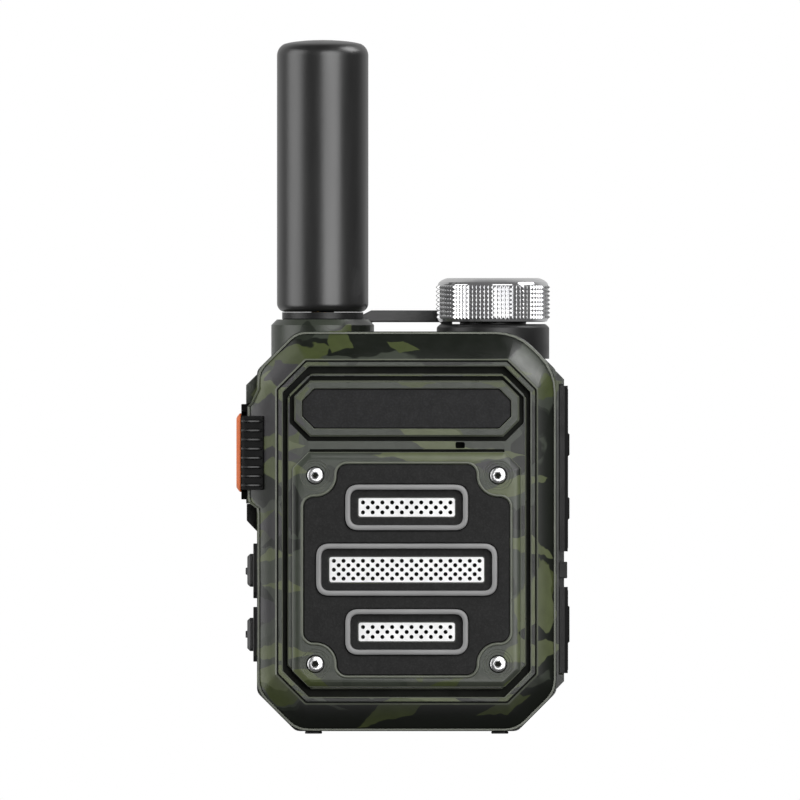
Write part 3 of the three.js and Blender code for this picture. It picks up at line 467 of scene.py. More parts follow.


# The printed patches on the front: middle and half size as shares of the front shell's width and
# height, tilt in degrees, and colour. Later ones lie over earlier ones.
OLIVE, LIGHT_OLIVE, GREEN_BLACK, PURPLE_GREY = "434b29", "585f40", "0f140c", "333234"
PATCHES = [
    # The first broad green-black patches, over the right, top and bottom bevels and the lower right corner,
    # are partly print and partly painted shade.
    (1.010, 0.480, 0.074, 0.420, 0, GREEN_BLACK),
    (0.660, 1.010, 0.330, 0.082, 0, GREEN_BLACK),
    (0.350, 0.962, 0.150, 0.026, -4, GREEN_BLACK),
    (0.580, -0.010, 0.470, 0.086, 0, GREEN_BLACK),
    (0.890, 0.050, 0.120, 0.050, 40, GREEN_BLACK),
    (0.035, 0.320, 0.030, 0.060, 0, GREEN_BLACK),
    (0.150, 0.560, 0.030, 0.050, 0, GREEN_BLACK),
    (0.900, 0.700, 0.040, 0.060, -20, GREEN_BLACK),
    (0.180, 0.030, 0.100, 0.026, 10, GREEN_BLACK),
    (0.160, 0.945, 0.090, 0.018, 14, OLIVE),
    (0.215, 0.925, 0.060, 0.013, -28, OLIVE),
    (0.303, 0.985, 0.040, 0.030, -40, OLIVE),
    (0.500, 0.957, 0.045, 0.015, -15, OLIVE),
    (0.080, 0.848, 0.060, 0.050, 8, LIGHT_OLIVE),
    (0.512, 0.882, 0.078, 0.019, -8, OLIVE),
    (0.806, 0.890, 0.088, 0.019, 10, OLIVE),
    (0.975, 0.862, 0.044, 0.026, 20, OLIVE),
    (0.160, 0.844, 0.028, 0.024, 10, OLIVE),
    (0.650, 0.738, 0.052, 0.014, -14, OLIVE),
    (0.070, 0.777, 0.085, 0.050, 0, PURPLE_GREY),
    (0.090, 0.724, 0.070, 0.020, 0, LIGHT_OLIVE),
    (0.075, 0.690, 0.070, 0.022, 0, PURPLE_GREY),
    (0.085, 0.652, 0.075, 0.026, 6, LIGHT_OLIVE),
    (0.045, 0.600, 0.060, 0.036, 0, GREEN_BLACK),
    (0.110, 0.900, 0.050, 0.030, 30, PURPLE_GREY),
    (0.030, 0.300, 0.050, 0.030, -10, PURPLE_GREY),
    (0.120, 0.470, 0.060, 0.018, 10, GREEN_BLACK),
    (0.900, 0.540, 0.060, 0.020, 20, GREEN_BLACK),
    (0.950, 0.175, 0.050, 0.030, -20, GREEN_BLACK),
    (0.790, 0.655, 0.060, 0.012, 0, PURPLE_GREY),
    (0.330, 0.078, 0.080, 0.016, -10, GREEN_BLACK),
    (0.075, 0.434, 0.050, 0.012, 8, LIGHT_OLIVE),
    (0.090, 0.510, 0.040, 0.026, 0, PURPLE_GREY),
    (0.126, 0.358, 0.060, 0.011, 0, LIGHT_OLIVE),
    (0.095, 0.198, 0.088, 0.015, 0, LIGHT_OLIVE),
    (0.105, 0.100, 0.064, 0.024, -14, OLIVE),
    (0.224, 0.120, 0.056, 0.014, -18, OLIVE),
    (0.655, 0.690, 0.180, 0.020, 0, LIGHT_OLIVE),
    (0.600, 0.738, 0.080, 0.026, -10, LIGHT_OLIVE),
    (0.868, 0.612, 0.088, 0.015, 8, LIGHT_OLIVE),
    (0.905, 0.462, 0.066, 0.021, -20, LIGHT_OLIVE),
    (0.972, 0.380, 0.026, 0.038, 18, OLIVE),
    (0.935, 0.310, 0.060, 0.090, -12, LIGHT_OLIVE),
    (0.935, 0.205, 0.080, 0.030, 10, LIGHT_OLIVE),
    (0.930, 0.245, 0.034, 0.022, 0, GREEN_BLACK),
    (0.520, 0.070, 0.150, 0.030, 24, OLIVE),
    (0.100, 0.135, 0.110, 0.024, 0, LIGHT_OLIVE),
    (0.620, 0.078, 0.070, 0.011, -6, LIGHT_OLIVE),
    (0.215, 0.035, 0.110, 0.034, 0, GREEN_BLACK),
    (0.830, 0.062, 0.070, 0.015, 24, OLIVE),
]


# The range over which noise shifts the print, in millimetres across, deep and up.
WANDER = Vector((4.0, 2.0, 4.0))


def camouflage():
    """A satin print of sharp patches, carried over every step of the relief below it."""
    look = Look("camouflage_print", "3a3f36", 0.36, specular=0.55)
    wander = look.node("ShaderNodeVectorMath", operation="MULTIPLY_ADD")
    look.link(look.noise(5.5, 2.0, output="Color"), wander.inputs[0])
    wander.inputs[1].default_value = WANDER
    look.link(look.place, wander.inputs[2])
    shifted = look.node("ShaderNodeVectorMath", operation="SUBTRACT")
    look.link(wander.outputs[0], shifted.inputs[0])
    shifted.inputs[1].default_value = WANDER / 2
    place = shifted.outputs[0]
    base = look.ramp(look.noise(14.0, 1.0, place=place), (0.0, GREEN_BLACK), (0.34, "22271f"),
                     (0.38, "3a3f36"), (0.56, "343930"), (0.61, "3d4138"), (0.67, OLIVE), constant=True)
    low = box_mm("front_shell")[0]
    whole = size("front_shell")
    for share_x, share_z, half_x, half_z, tilt, colour in PATCHES:
        patch = look.node("ShaderNodeMapping", vector_type="TEXTURE")
        patch.inputs["Location"].default_value = (
            low.x + share_x * whole.x, low.y, low.z + share_z * whole.z)
        patch.inputs["Rotation"].default_value = (0, math.radians(-tilt), 0)
        patch.inputs["Scale"].default_value = (half_x * whole.x, 3 * whole.y, half_z * whole.z)
        look.link(place, patch.inputs["Vector"])
        apart = look.node("ShaderNodeVectorMath", operation="ABSOLUTE")
        look.link(patch.outputs[0], apart.inputs[0])
        reach = look.node("ShaderNodeVectorMath", operation="DOT_PRODUCT")
        look.link(apart.outputs[0], reach.inputs[0])
        reach.inputs[1].default_value = (0.7, 0.7, 0.7)
        inside = look.grey(reach.outputs["Value"], (0.95, 1.0), (1.0, 0.0))
        base = look.mix(inside, base, linear(colour))
    worn = look.grey(look.noise(2.2, 4.0), (0.3, 0.88), (0.75, 1.1))
    look.colour(look.mix(1.0, base, worn, blend="MULTIPLY"))
    look.roughness(look.noise(2.0, 3.0), 0.32, 0.4)
    look.bump(look.noise(0.3, 2.0), 0.006)
    return look.material


def speckled(name, colour, fleck, roughness, grain, depth, specular):
    """A dark surface with a fine sparkle of lighter flecks."""
    look = Look(name, colour, roughness, specular=specular)
    look.colour(look.ramp(look.noise(grain, 4.0), (0.45, colour), (0.75, fleck)))
    look.roughness(look.noise(grain * 4, 2.0), roughness - 0.05, roughness + 0.05)
    look.bump(look.noise(grain, 3.0), depth)
    return look.material


def rubber_sheath():
    """The antenna's satin rubber: even, with a faint upright streak from the mould."""
    look = Look("antenna_rubber", "1b1b1b", 0.3, specular=0.85)
    look.colour(look.ramp(look.noise(4.0, 3.0, stretch=(1, 1, 0.15)), (0.35, "191919"), (0.7, "202020")))
    look.roughness(look.noise(2.0, 2.0, stretch=(1, 1, 0.1)), 0.31, 0.37)
    look.bump(look.noise(0.25, 2.0), 0.002)
    return look.material


def solder_mask():
    """A green board with slightly raised, lighter tracks."""
    look = Look("circuit_board_green", "10482c", 0.4)
    tracks = look.grey(look.noise(1.2, 0.0, stretch=(1, 1, 4)), (0.48, 0.0), (0.5, 1.0))
    look.colour(look.mix(tracks, linear("10482c"), linear("1b6a42")))
    look.bump(tracks, 0.03)
    look.roughness(look.noise(2.0), 0.34, 0.46)
    return look.material


MATERIALS = {
    "camouflage_shell": camouflage(),
    "black_plastic": moulded("black_plastic_grain", "161616", "1c1c1c", 0.4, specular=0.4),
    "antenna_black": rubber_sheath(),
    "black_rubber": moulded("black_rubber_matt", "101010", "171717", 0.45, grain=0.25, depth=0.008,
                            specular=0.3),
    "pad_black": moulded("thumb_pad_black", "090909", "0e0e0e", 0.6, specular=0.12),
    "rib_rubber": moulded("thumb_rib_gloss", "0b0b0b", "121212", 0.27, depth=0.004),
    "key_rubber": moulded("key_rubber_grain", "3c3c3c", "464646", 0.4, grain=0.25, depth=0.008),
    "dark_grey_plastic": moulded("dark_grey_satin", "484848", "525252", 0.45),
    "grey_plastic": moulded("light_grey_satin", "8d8d8d", "989898", 0.42, depth=0.005),
    "orange_plastic": moulded("orange_satin", "fb7a38", "ff8442", 0.42, depth=0.006),
    # Painted highlight for the narrow edges that catch the light, and painted shade for grooves, lines, holes
    # and the parts seen through them.
    "lit_edge": moulded("lit_edge_print", "5c6054", "686c5f", 0.32, depth=0.004, specular=0.6),
    "groove_shade": moulded("groove_shade", "0b0d09", "14170f", 0.6, specular=0.15),
    "dark_window": speckled("dark_window_speckle", "131314", "232325", 0.5, 0.35, 0.004, 0.25),
    "grille_black": speckled("grille_black_texture", "151515", "242424", 0.55, 0.3, 0.02, 0.25),
    # The knob's plating is a little milky, and the painted mesh is white rather than mirror bright.
    "chrome": metal("polished_chrome", "c2c2c4", "cecece", 0.07, metallic=0.84),
    "mesh_metal": metal("bright_mesh", "f4f4f4", "ffffff", 0.45, metallic=0.25),
    "bright_screw": metal("bright_screw_face", "ececee", "f8f8f8", 0.3),
    "steel": metal("plain_steel", "a8a8ac", "bcbcc0", 0.3, stretch=(1, 1, 6)),
    "brass": metal("turned_brass", "b18b48", "c29c58", 0.3),
    "circuit_board": solder_mask(),
    "battery_wrap": moulded("battery_film", "2b2e33", "34373c", 0.3, grain=1.5, depth=0.02),
}


# ---------------------------------------------------------------- the front shell

CASE = {"half": 26.2, "bottom": 0.45, "deck": 67.4, "top": 70.4, "cut": 6.8}
LIP_BACK = 9.5
SEAM = 4.1
RIM = 10.4
GROOVE_FLOOR = 12.4
PANEL_FACE = forward_of("grille_frame") - 1.2
RIDGE = {"half": 23.0, "bottom": 5.1, "top": 65.6, "cut": 5.2, "at": 14.4}
PANEL = {"half": 20.9, "bottom": 7.8, "top": 63.0, "cut": 4.2}
DISPLAY = {"half": 19.7, "bottom": 52.0, "top": 61.8, "cut": 2.8, "at": 14.2, "band": 1.4,
           "groove": 12.6, "floor": 12.3}
WINDOWS = ("top", "middle", "bottom")
CASE_ROUNDS = [5.0, 5.0, 5.0, 9.0, 9.0, 4.0, 4.0, 5.0]

# The cavity's rings from the front: half width, bottom, top, corner cut and depth.
CAVITY_FRONT = 10.8
CAVITY = [(23.2, 3.9, 63.0, 5.2, CAVITY_FRONT), (24.4, 2.25, 64.0, 5.6, 9.2), (24.4, 2.25, 64.0, 5.6, SEAM)]

# Openings in the panel as left, right, bottom and top. The slot is blind.
MICROPHONE_HOLE = (8.53, 10.18, 49.95, 51.05)
SHADOW_SLOT = (-17.0, 17.1, 49.25, 49.8)
SHADOW_DEPTH = 0.8
SOUND_SLOT_INSET = (0.6, 0.5)

# The numbers of the steps from the cavity to the panel that are painted in deep shade: the line inside the
# rim, the line along the ridge, and the groove. The narrow edges beside them get a painted highlight.
DARK_STEPS = (10, 15, 16, 17, 20, 21, 22)
LIT_STEPS = (9, 14, 19, 23)

# The swelling on the left, under the thumb: height, how far out, and how far the rim drops back.
BULGE = [(60.25, 0.0, 0.0), (57.9, 1.05, 1.3), (57.2, 1.7, 1.9), (53.5, 1.7, 1.9), (49.8, 1.7, 1.9),
         (46.0, 1.7, 1.9), (41.4, 1.7, 1.9), (40.6, 1.5, 1.7), (39.5, 0.1, 0.1), (38.5, 0.0, 0.0)]


def rounds_reach(rounds):
    """How far a rounded corner reaches down the left side, with a little to spare."""
    radius = rounds[6] if isinstance(rounds, (list, tuple)) else rounds
    return radius * math.tan(math.radians(22.5)) + 0.3


def case_outline(half, low, high, cut, swell=0.0, rounds=0.6):
    """An eight-sided outline with the bulge's points in its left side."""
    outline = rounded(octagon(half, low, high, cut), rounds)
    per_corner = ROUND_STEPS + 1
    left_side = 7 * per_corner
    top, bottom = BULGE[0][0], BULGE[-1][0]
    squeeze = (min(top, high - cut - rounds_reach(rounds)) - bottom) / (top - bottom)
    bulge = [Vector((-half - out * swell, bottom + (z - bottom) * squeeze)) for z, out, _ in BULGE]
    return outline[:left_side] + bulge + outline[left_side:]


def case_depths(at, swell=0.0):
    """One depth for every point of case_outline, less where the bulge drops the rim."""
    per_corner = ROUND_STEPS + 1
    plain = [at] * (7 * per_corner)
    return plain + [at - drop * swell for _, _, drop in BULGE] + [at] * per_corner


def rim_step(surface, inset, at, top=CASE["top"], swell=1.0, drop=1.0):
    """A ring of the case's outside, out to the bulge by swell and set back there by drop."""
    outline = case_outline(CASE["half"] - inset, CASE["bottom"] + inset, top - inset,
                           CASE["cut"] - inset * 0.4, swell, CASE_ROUNDS)
    return surface.ring(outline, case_depths(at, drop))


def inner_step(surface, shape, inset, at):
    """A ring of the ridge or the panel, with the bulge's points in line."""
    outline = case_outline(shape["half"] - inset, shape["bottom"] + inset, shape["top"] - inset,
                           shape["cut"] - inset / 2)
    return surface.ring(outline, at)


def display_outline(inset):
    return rounded(octagon(DISPLAY["half"] - inset, DISPLAY["bottom"] + inset, DISPLAY["top"] - inset,
                           DISPLAY["cut"] - inset / 2), 0.35)


def front_shell():
    """The front half of the case: cavity, rim, ridge, groove, panel and display band."""
    surface = Surface()
    cavity = [surface.ring(case_outline(half, low, high, cut), at) for half, low, high, cut, at in CAVITY]
    outside = [
        rim_step(surface, 0.25, SEAM, CASE["deck"], 1.0, 0.0),
        rim_step(surface, 0.0, SEAM + 0.25, CASE["deck"], 1.0, 0.0),
        rim_step(surface, 0.0, LIP_BACK - 0.05, CASE["deck"]),
        rim_step(surface, 0.1, LIP_BACK),
        rim_step(surface, 0.0, LIP_BACK + 0.1),
        rim_step(surface, 0.0, RIM - 0.15),
        rim_step(surface, 0.12, RIM),
        rim_step(surface, 0.42, RIM),
        rim_step(surface, 0.48, RIM - 0.14),
        rim_step(surface, 0.62, RIM - 0.06, swell=0.95, drop=0.95),
        inner_step(surface, RIDGE, -0.12, RIDGE["at"] - 0.45),
        inner_step(surface, RIDGE, 0.0, RIDGE["at"] - 0.15),
        inner_step(surface, RIDGE, 0.24, RIDGE["at"]),
        inner_step(surface, RIDGE, 0.30, RIDGE["at"] - 0.3),
        inner_step(surface, RIDGE, 0.50, RIDGE["at"] - 0.3),
        inner_step(surface, RIDGE, 0.56, RIDGE["at"] - 0.02),
        inner_step(surface, RIDGE, 1.16, RIDGE["at"] - 0.02),
        inner_step(surface, RIDGE, 1.32, RIDGE["at"] - 0.16),
        inner_step(surface, RIDGE, 1.34, GROOVE_FLOOR),
        inner_step(surface, PANEL, 0.0, GROOVE_FLOOR),
        inner_step(surface, PANEL, 0.0, PANEL_FACE - 0.22),
        inner_step(surface, PANEL, 0.2, PANEL_FACE),
    ]
    surface.walls(cavity + outside, shaded=DARK_STEPS, lit=LIT_STEPS)
    band_face, band = DISPLAY["at"], DISPLAY["band"]
    # The display groove's walls and floor are painted in shade, and the band's outer wall and inner edge
    # painted lit.
    groove, window_floor = surface.chain(
        (display_outline(-0.8), PANEL_FACE), (display_outline(-0.75), DISPLAY["groove"]),
        (display_outline(0.0), DISPLAY["groove"]), (display_outline(0.0), band_face - 0.35),
        (display_outline(0.3), band_face), (display_outline(band - 0.1), band_face),
        (display_outline(band), band_face - 0.12), (display_outline(band), DISPLAY["floor"]),
        shaded=(0, 1, 2), lit=(3, 5))
    surface.cover(window_floor)
    slot_outline = rounded(rectangle(*SHADOW_SLOT), 0.2)
    # The blind slot's wall and floor are painted in shade.
    slot, slot_floor = surface.chain(
        (slot_outline, PANEL_FACE), (slot_outline, PANEL_FACE - SHADOW_DEPTH), shaded=(0,))
    surface.cover(slot_floor, finish=PAINTED_SHADE)
    holes = [rounded(rectangle(*MICROPHONE_HOLE), 0.3)]
    across, up = SOUND_SLOT_INSET
    for window in WINDOWS:
        low, high = box_mm("mesh_" + window)
        holes.append(rounded(rectangle(low.x - MIDDLE_X + across, high.x - MIDDLE_X - across,
                                       low.z + up, high.z - up), 0.3))
    fronts = []
    backs = []
    for hole in holes:
        # The walls of the microphone hole and the sound slots are painted in shade.
        front, back = surface.chain((hole, PANEL_FACE), (hole, CAVITY_FRONT), shaded=(0,))
        fronts.append(front)
        backs.append(back)
    surface.cover(outside[-1], groove, slot, *fronts)
    surface.cover(cavity[0], *backs)
    return surface.mesh("front_shell_skin")


ANTENNA = middle("antenna_sheath")
ANTENNA_COLLAR = 9.0
ANTENNA_SPACE_FLOOR = 62.9
KNOB = middle("knob_cap")
KNOB_COLLAR = 9.85
KNOB_SPACE_FLOOR = 65.5
COLLAR_GAP = 0.06
ABOVE_CASE = 80


def collar_space(name, centre, collar_radius, floor_height):
    """The upright round space that a collar takes in the shell."""
    radius = collar_radius + COLLAR_GAP
    return turned(name, centre, [
        (0, floor_height), (radius, floor_height), (radius, ABOVE_CASE), (0, ABOVE_CASE)])


shell_mesh = carved(
    front_shell(),
    collar_space("antenna_space", ANTENNA, ANTENNA_COLLAR, ANTENNA_SPACE_FLOOR),
    collar_space("knob_space", KNOB, KNOB_COLLAR, KNOB_SPACE_FLOOR))
stand_in("front_shell", "_skin", shell_mesh, "camouflage_shell")


# ---------------------------------------------------------------- the display window and the grille

def display_window():
    """The dark pane, just inside the display band."""
    surface = Surface()
    face = forward_of("display_window")
    inset = DISPLAY["band"] + 0.06
    back, front = surface.chain(
        (display_outline(inset), DISPLAY["floor"] + 0.01), (display_outline(inset), face - 0.12),
        (display_outline(inset + 0.12), face))
    surface.cover(back)
    surface.cover(front)
    return surface.mesh("display_window_glass")


stand_in("display_window", "_glass", display_window(), "dark_window")

SCREW_U = middle("grille_screw_3").x - MIDDLE_X
SCREW_V = (middle("grille_screw_4").z - middle("grille_screw_3").z) / 2
PLATE_Z = middle("grille_plate").z
PLATE_HALF = size("grille_plate") / 2
SCOOP = 3.85
FILLET = 1.7
FRAME_LOW, FRAME_HIGH = heights("grille_frame")
FRAME_FACE = forward_of("grille_frame")
FRAME_FLAT = FRAME_FACE - 0.2
SCREW_PLACES = [(side * SCREW_U, PLATE_Z + level * SCREW_V) for side in (-1, 1) for level in (-1, 1)]

# The lip round the plate and the rings round a screw, from the outside in: how far out from the
# plate's edge, or the radius, and how deep below the frame's face, or below its flat.
LIP = [(0.62, 0.2), (0.55, 0.08), (0.44, 0.02), (0.34, 0.0), (0.23, 0.02), (0.13, 0.09), (0.08, 0.22)]
SCREW_RINGS = [(2.60, 0.0), (2.52, 0.10), (2.12, 0.10), (2.04, 0.22), (1.60, 0.22), (1.58, 0.62)]


def plate_corner(grow):
    """The upper right corner of the plate: a fillet, the scoop round the screw, and a fillet."""
    inner = SCOOP - grow
    outer = FILLET + grow
    span = SCOOP + FILLET
    low_u = PLATE_HALF.x - FILLET
    low_v = SCREW_V - math.sqrt(span ** 2 - (low_u - SCREW_U) ** 2)
    high_v = PLATE_HALF.z - FILLET
    high_u = SCREW_U - math.sqrt(span ** 2 - (high_v - SCREW_V) ** 2)
    to_low = math.atan2(low_v - SCREW_V, low_u - SCREW_U)
    to_high = math.atan2(high_v - SCREW_V, high_u - SCREW_U)
    points = []

    def sweep(u, v, radius, start, end, steps):
        for k in range(steps + 1):
            angle = start + (end - start) * k / steps
            points.append(Vector((u + radius * math.cos(angle), v + radius * math.sin(angle))))

    sweep(low_u, low_v, outer, 0.0, to_low + math.pi, 8)
    sweep(SCREW_U, SCREW_V, inner, to_low, to_high - (2 * math.pi if to_high > to_low else 0), 20)
    sweep(high_u, high_v, outer, to_high - math.pi, math.pi / 2, 8)
    return points


def plate_outline(grow):
    """The plate's outline, moved outwards by grow."""
    corner = plate_corner(grow)
    back = corner[::-1]
    ring = []
    for points, side, level in ((corner, 1, 1), (back, -1, 1), (corner, -1, -1), (back, 1, -1)):
        ring += [Vector((side * p.x, PLATE_Z + level * p.y)) for p in points]
    return ring


def grille_outline(inset):
    half = size("grille_frame") / 2
    return rounded(octagon(half.x - inset, FRAME_LOW + inset, FRAME_HIGH - inset, 2.8 - inset / 2), 0.6)


def grille_frame():
    """The camouflaged frame, with a raised lip round the plate and stepped rings round each screw."""
    surface = Surface()
    # The frame's outer chamfer is painted lit.
    base, face = surface.chain(
        (grille_outline(0.0), PANEL_FACE), (grille_outline(0.0), FRAME_FACE - 0.62),
        (grille_outline(0.1), FRAME_FACE - 0.54), (grille_outline(0.75), FRAME_FACE - 0.24),
        (grille_outline(0.9), FRAME_FLAT), lit=(1,))
    # The lip's crown is painted lit and its inner wall painted in shade.
    lip, inner = surface.chain(
        *[(plate_outline(grow), FRAME_FACE - deep) for grow, deep in LIP],
        (plate_outline(LIP[-1][0]), PANEL_FACE), shaded=(6,), lit=(1, 2, 3, 4))
    rings = []
    for u, v in SCREW_PLACES:
        # Round each screw the two stepped edges are painted lit, and the deep wall and its floor painted in
        # shade.
        top, bottom = surface.chain(
            *[(circle(u, v, radius, 48), FRAME_FLAT - deep) for radius, deep in SCREW_RINGS],
            shaded=(4,), lit=(0, 2))
        surface.cover(bottom, finish=PAINTED_SHADE)
        rings.append(top)
    surface.cover(face, lip, *rings)
    surface.cover(base, inner)
    return surface.mesh("grille_frame_skin")


stand_in("grille_frame", "_skin", grille_frame(), "camouflage_shell")


def window_outline(node, inset, rounding=2.4):
    """A rounded rectangle that follows a bezel's or a sheet's box."""
    low, high = box_mm(node)
    corners = rectangle(low.x - MIDDLE_X + inset, high.x - MIDDLE_X - inset, low.z + inset, high.z - inset)
    return rounded(corners, max(rounding - inset, 0.2), 8)


BEZEL_BAND = 0.9
PLATE_FACE = forward_of("grille_plate")
PLATE_BACK = PANEL_FACE + 0.02
RECESS_DEPTH = 0.6


def grille_plate():
    """The black plate: a groove round each bezel and a recess with a slot for each mesh."""
    surface = Surface()
    outline = plate_outline(0.0)
    base, face = surface.chain(
        (outline, PLATE_BACK), (outline, PLATE_FACE - 0.1), (plate_outline(-0.1), PLATE_FACE))
    fronts = []
    backs = []
    for place in WINDOWS:
        bezel = "bezel_" + place
        front, recess = surface.chain(
            (window_outline(bezel, -0.22), PLATE_FACE),
            (window_outline(bezel, -0.20), PLATE_FACE - RECESS_DEPTH))
        opening = window_outline("mesh_" + place, -0.2, 0.4)
        slot, back = surface.chain((opening, PLATE_FACE - RECESS_DEPTH), (opening, PLATE_BACK))
        surface.cover(recess, slot)
        fronts.append(front)
        backs.append(back)
    surface.cover(face, *fronts)
    surface.cover(base, *backs)
    return surface.mesh("grille_plate_skin")


stand_in("grille_plate", "_skin", grille_plate(), "grille_black")


def bezel_ring(node):
    """A flat band with eased edges, standing in its groove."""
    surface = Surface()
    face = forward_of(node)
    floor = PLATE_FACE - 0.55
    steps = [(0.0, floor), (0.0, face - 0.22), (0.06, face - 0.08), (0.2, face),
             (BEZEL_BAND - 0.2, face), (BEZEL_BAND - 0.06, face - 0.08), (BEZEL_BAND, face - 0.22),
             (BEZEL_BAND, floor)]
    rings = [surface.ring(window_outline(node, inset), at) for inset, at in steps]
    surface.walls(rings + rings[:1])
    return surface.mesh(node + "_ring")


HOLE_RADIUS = 0.36
HOLE_PITCH = 1.70
SHEET_FACE = PANEL_FACE + 0.55
SHEET_BACK = PANEL_FACE + 0.03
# The holes of each sheet: columns, rows and the distance between rows.
SHEET_HOLES = {"top": (10, 3, 0.87), "middle": (16, 5, 0.78), "bottom": (10, 3, 0.87)}


def mesh_sheet(node, columns, rows, row_pitch):
    """A punched sheet with staggered round holes: full rows of columns holes, then rows of one less."""
    surface = Surface()
    centre = middle(node)
    outline = window_outline(node, 0.0, 0.45)
    back, front = surface.chain(
        (outline, SHEET_BACK), (outline, SHEET_FACE - 0.06), (window_outline(node, 0.06, 0.45), SHEET_FACE))
    fronts = []
    backs = []
    for row in range(rows):
        count = columns - row % 2
        v = centre.z + (row - (rows - 1) / 2) * row_pitch
        for k in range(count):
            u = centre.x - MIDDLE_X + (k - (count - 1) / 2) * HOLE_PITCH
            hole = circle(u, v, HOLE_RADIUS, 16)
            top, bottom = surface.chain((hole, SHEET_FACE), (hole, SHEET_BACK))
            fronts.append(top)
            backs.append(bottom)
    surface.cover(front, *fronts)
    surface.cover(back, *backs)
    return surface.mesh(node + "_sheet")


for place in WINDOWS:
    bezel, sheet = "bezel_" + place, "mesh_" + place
    stand_in(bezel, "_ring", bezel_ring(bezel), "grey_plastic")
    stand_in(sheet, "_sheet", mesh_sheet(sheet, *SHEET_HOLES[place]), "mesh_metal")


# Head radius, reach of the socket's corners, and depth of the head below its face.
GRILLE_SCREW = (1.42, 0.72, 1.2)
CASE_SCREW = (1.75, 0.85, 1.3)
DOOR_SCREW = (1.55, 0.75, 1.3)


def socket_screw(node, place, face, radius, socket, under):
    """A low domed head with a hexagonal socket."""
    surface = Surface(place)
    centre = middle(node)
    u, v = centre.x - MIDDLE_X, centre.z
    count = 48

    def hexagon(scale):
        ring = []
        for k in range(count):
            angle = 2 * math.pi * k / count
            past_corner = angle % (math.pi / 3)
            reach = scale * socket * math.cos(math.pi / 6) / math.cos(past_corner - math.pi / 6)
            ring.append(Vector((u + reach * math.cos(angle), v + reach * math.sin(angle))))
        return ring

    dome = [(1.0, under), (1.0, 0.32), (0.95, 0.17), (0.82, 0.06), (0.65, 0.0)]
    bottom, deepest = surface.chain(
        *[(circle(u, v, radius * share, count), face - deep) for share, deep in dome],
        (hexagon(1.1), face), (hexagon(1.0), face - 0.06), (hexagon(0.62), face - 0.5))
    surface.cover(bottom)
    # The socket's floor is painted in shade.
    surface.cover(deepest, finish=PAINTED_SHADE)
    return surface.mesh(node + "_head")


for k in range(1, 5):
    node = f"grille_screw_{k}"
    stand_in(node, "_head", socket_screw(node, facing_front, forward_of(node), *GRILLE_SCREW), "bright_screw")


# ---------------------------------------------------------------- the antenna

def antenna_sheath():
    """A rubber tube with a rounded foot and a shallow domed top."""
    low, high = heights("antenna_sheath")
    radius = size("antenna_sheath").x / 2
    return turned("antenna_sheath_skin", ANTENNA, [
        (0, low + 0.4), (radius - 3.1, low + 0.4), (radius - 2.9, low), (radius - 1.6, low),
        *arc(radius - 1.5, low + 1.5, 1.5, -90, 0, 8), (radius, low + 4), (radius, high - 6),
        *arc(radius - 2.3, high - 2.75, 2.3, 0, 64, 9), (radius - 2.2, high - 0.45),
        (radius - 3.4, high - 0.26), (radius - 5.0, high - 0.1), (radius - 6.6, high - 0.02), (0, high)],
        count=128)


stand_in("antenna_sheath", "_skin", antenna_sheath(), "antenna_black")


def antenna_neck():
    """The neck: a stem inside the collar and a wider ring above it."""
    low, high = heights("antenna_base")
    stem, ring, step = 5.5, 7.1, low + 6.3
    return turned("antenna_base_skin", ANTENNA, [
        (0, low), (stem, low), (stem, step), (ring - 0.1, step), (ring, step + 0.15),
        (ring, high - 0.05), (0, high - 0.05)])


stand_in("antenna_base", "_skin", antenna_neck(), "black_plastic")


# ---------------------------------------------------------------- the knob

KNURL_ROWS = 8
KNURL_COLUMNS = 84
KNURL_DEPTH = 0.36
KNURL_ANGLE = math.radians(18)


def knurled_cap():
    """A chrome cap with a band of small pyramids between two smooth chamfers."""
    low, high = heights("knob_cap")
    radius = size("knob_cap").x / 2
    bore, ceiling_height = 7.0, high - 2.2
    work = bmesh.new()

    def point(u, v, z):
        return work.verts.new(Vector((KNOB.x + u, KNOB.y + v, z)) * MM)

    def ring(r, z):
        return [point(u, v, z) for u, v in circle(0, 0, r, KNURL_COLUMNS)]

    band_low, band_high = low + 0.5, high - 1.25
    under = [ring(r, z) for r, z in (
        (bore, ceiling_height), (bore, low), (radius - 0.9, low), (radius - 0.55, low + 0.1))]
    band = [ring(radius - KNURL_DEPTH, band_low + (band_high - band_low) * k / KNURL_ROWS)
            for k in range(KNURL_ROWS + 1)]
    over = [ring(r, z) for r, z in (
        (radius - 0.35, high - 1.1), (radius - 0.55, high - 0.75), (radius - 1.0, high - 0.4),
        (radius - 1.6, high - 0.12), (radius - 2.1, high), (radius - 3.4, high),
        (radius - 3.65, high - 0.25), (radius - 3.9, high - 0.3))]
    tip = [point(0, 0, high - 0.3)]
    ceiling = [point(0, 0, ceiling_height)]
    for a, b in zip(under, under[1:] + band[:1]):
        bridge(work, a, b, KNURL_COLUMNS)
    step = 2 * math.pi / KNURL_COLUMNS
    for row in range(KNURL_ROWS):
        a, b = band[row], band[row + 1]
        z = band_low + (band_high - band_low) * (row + 0.5) / KNURL_ROWS
        for i in range(KNURL_COLUMNS):
            j = (i + 1) % KNURL_COLUMNS
            angle = step * (i + 0.5)
            apex = point(radius * math.cos(angle), radius * math.sin(angle), z)
            for p, q in ((a[i], a[j]), (a[j], b[j]), (b[j], b[i]), (b[i], a[i])):
                work.faces.new((p, q, apex))
    for a, b in zip(band[-1:] + over, over + [tip]):
        bridge(work, a, b, KNURL_COLUMNS)
    bridge(work, ceiling, under[0], KNURL_COLUMNS)
    return finished_mesh("knob_cap_skin", work)


cap = stand_in("knob_cap", "_skin", knurled_cap(), "chrome")
smooth(cap.data, KNURL_ANGLE)


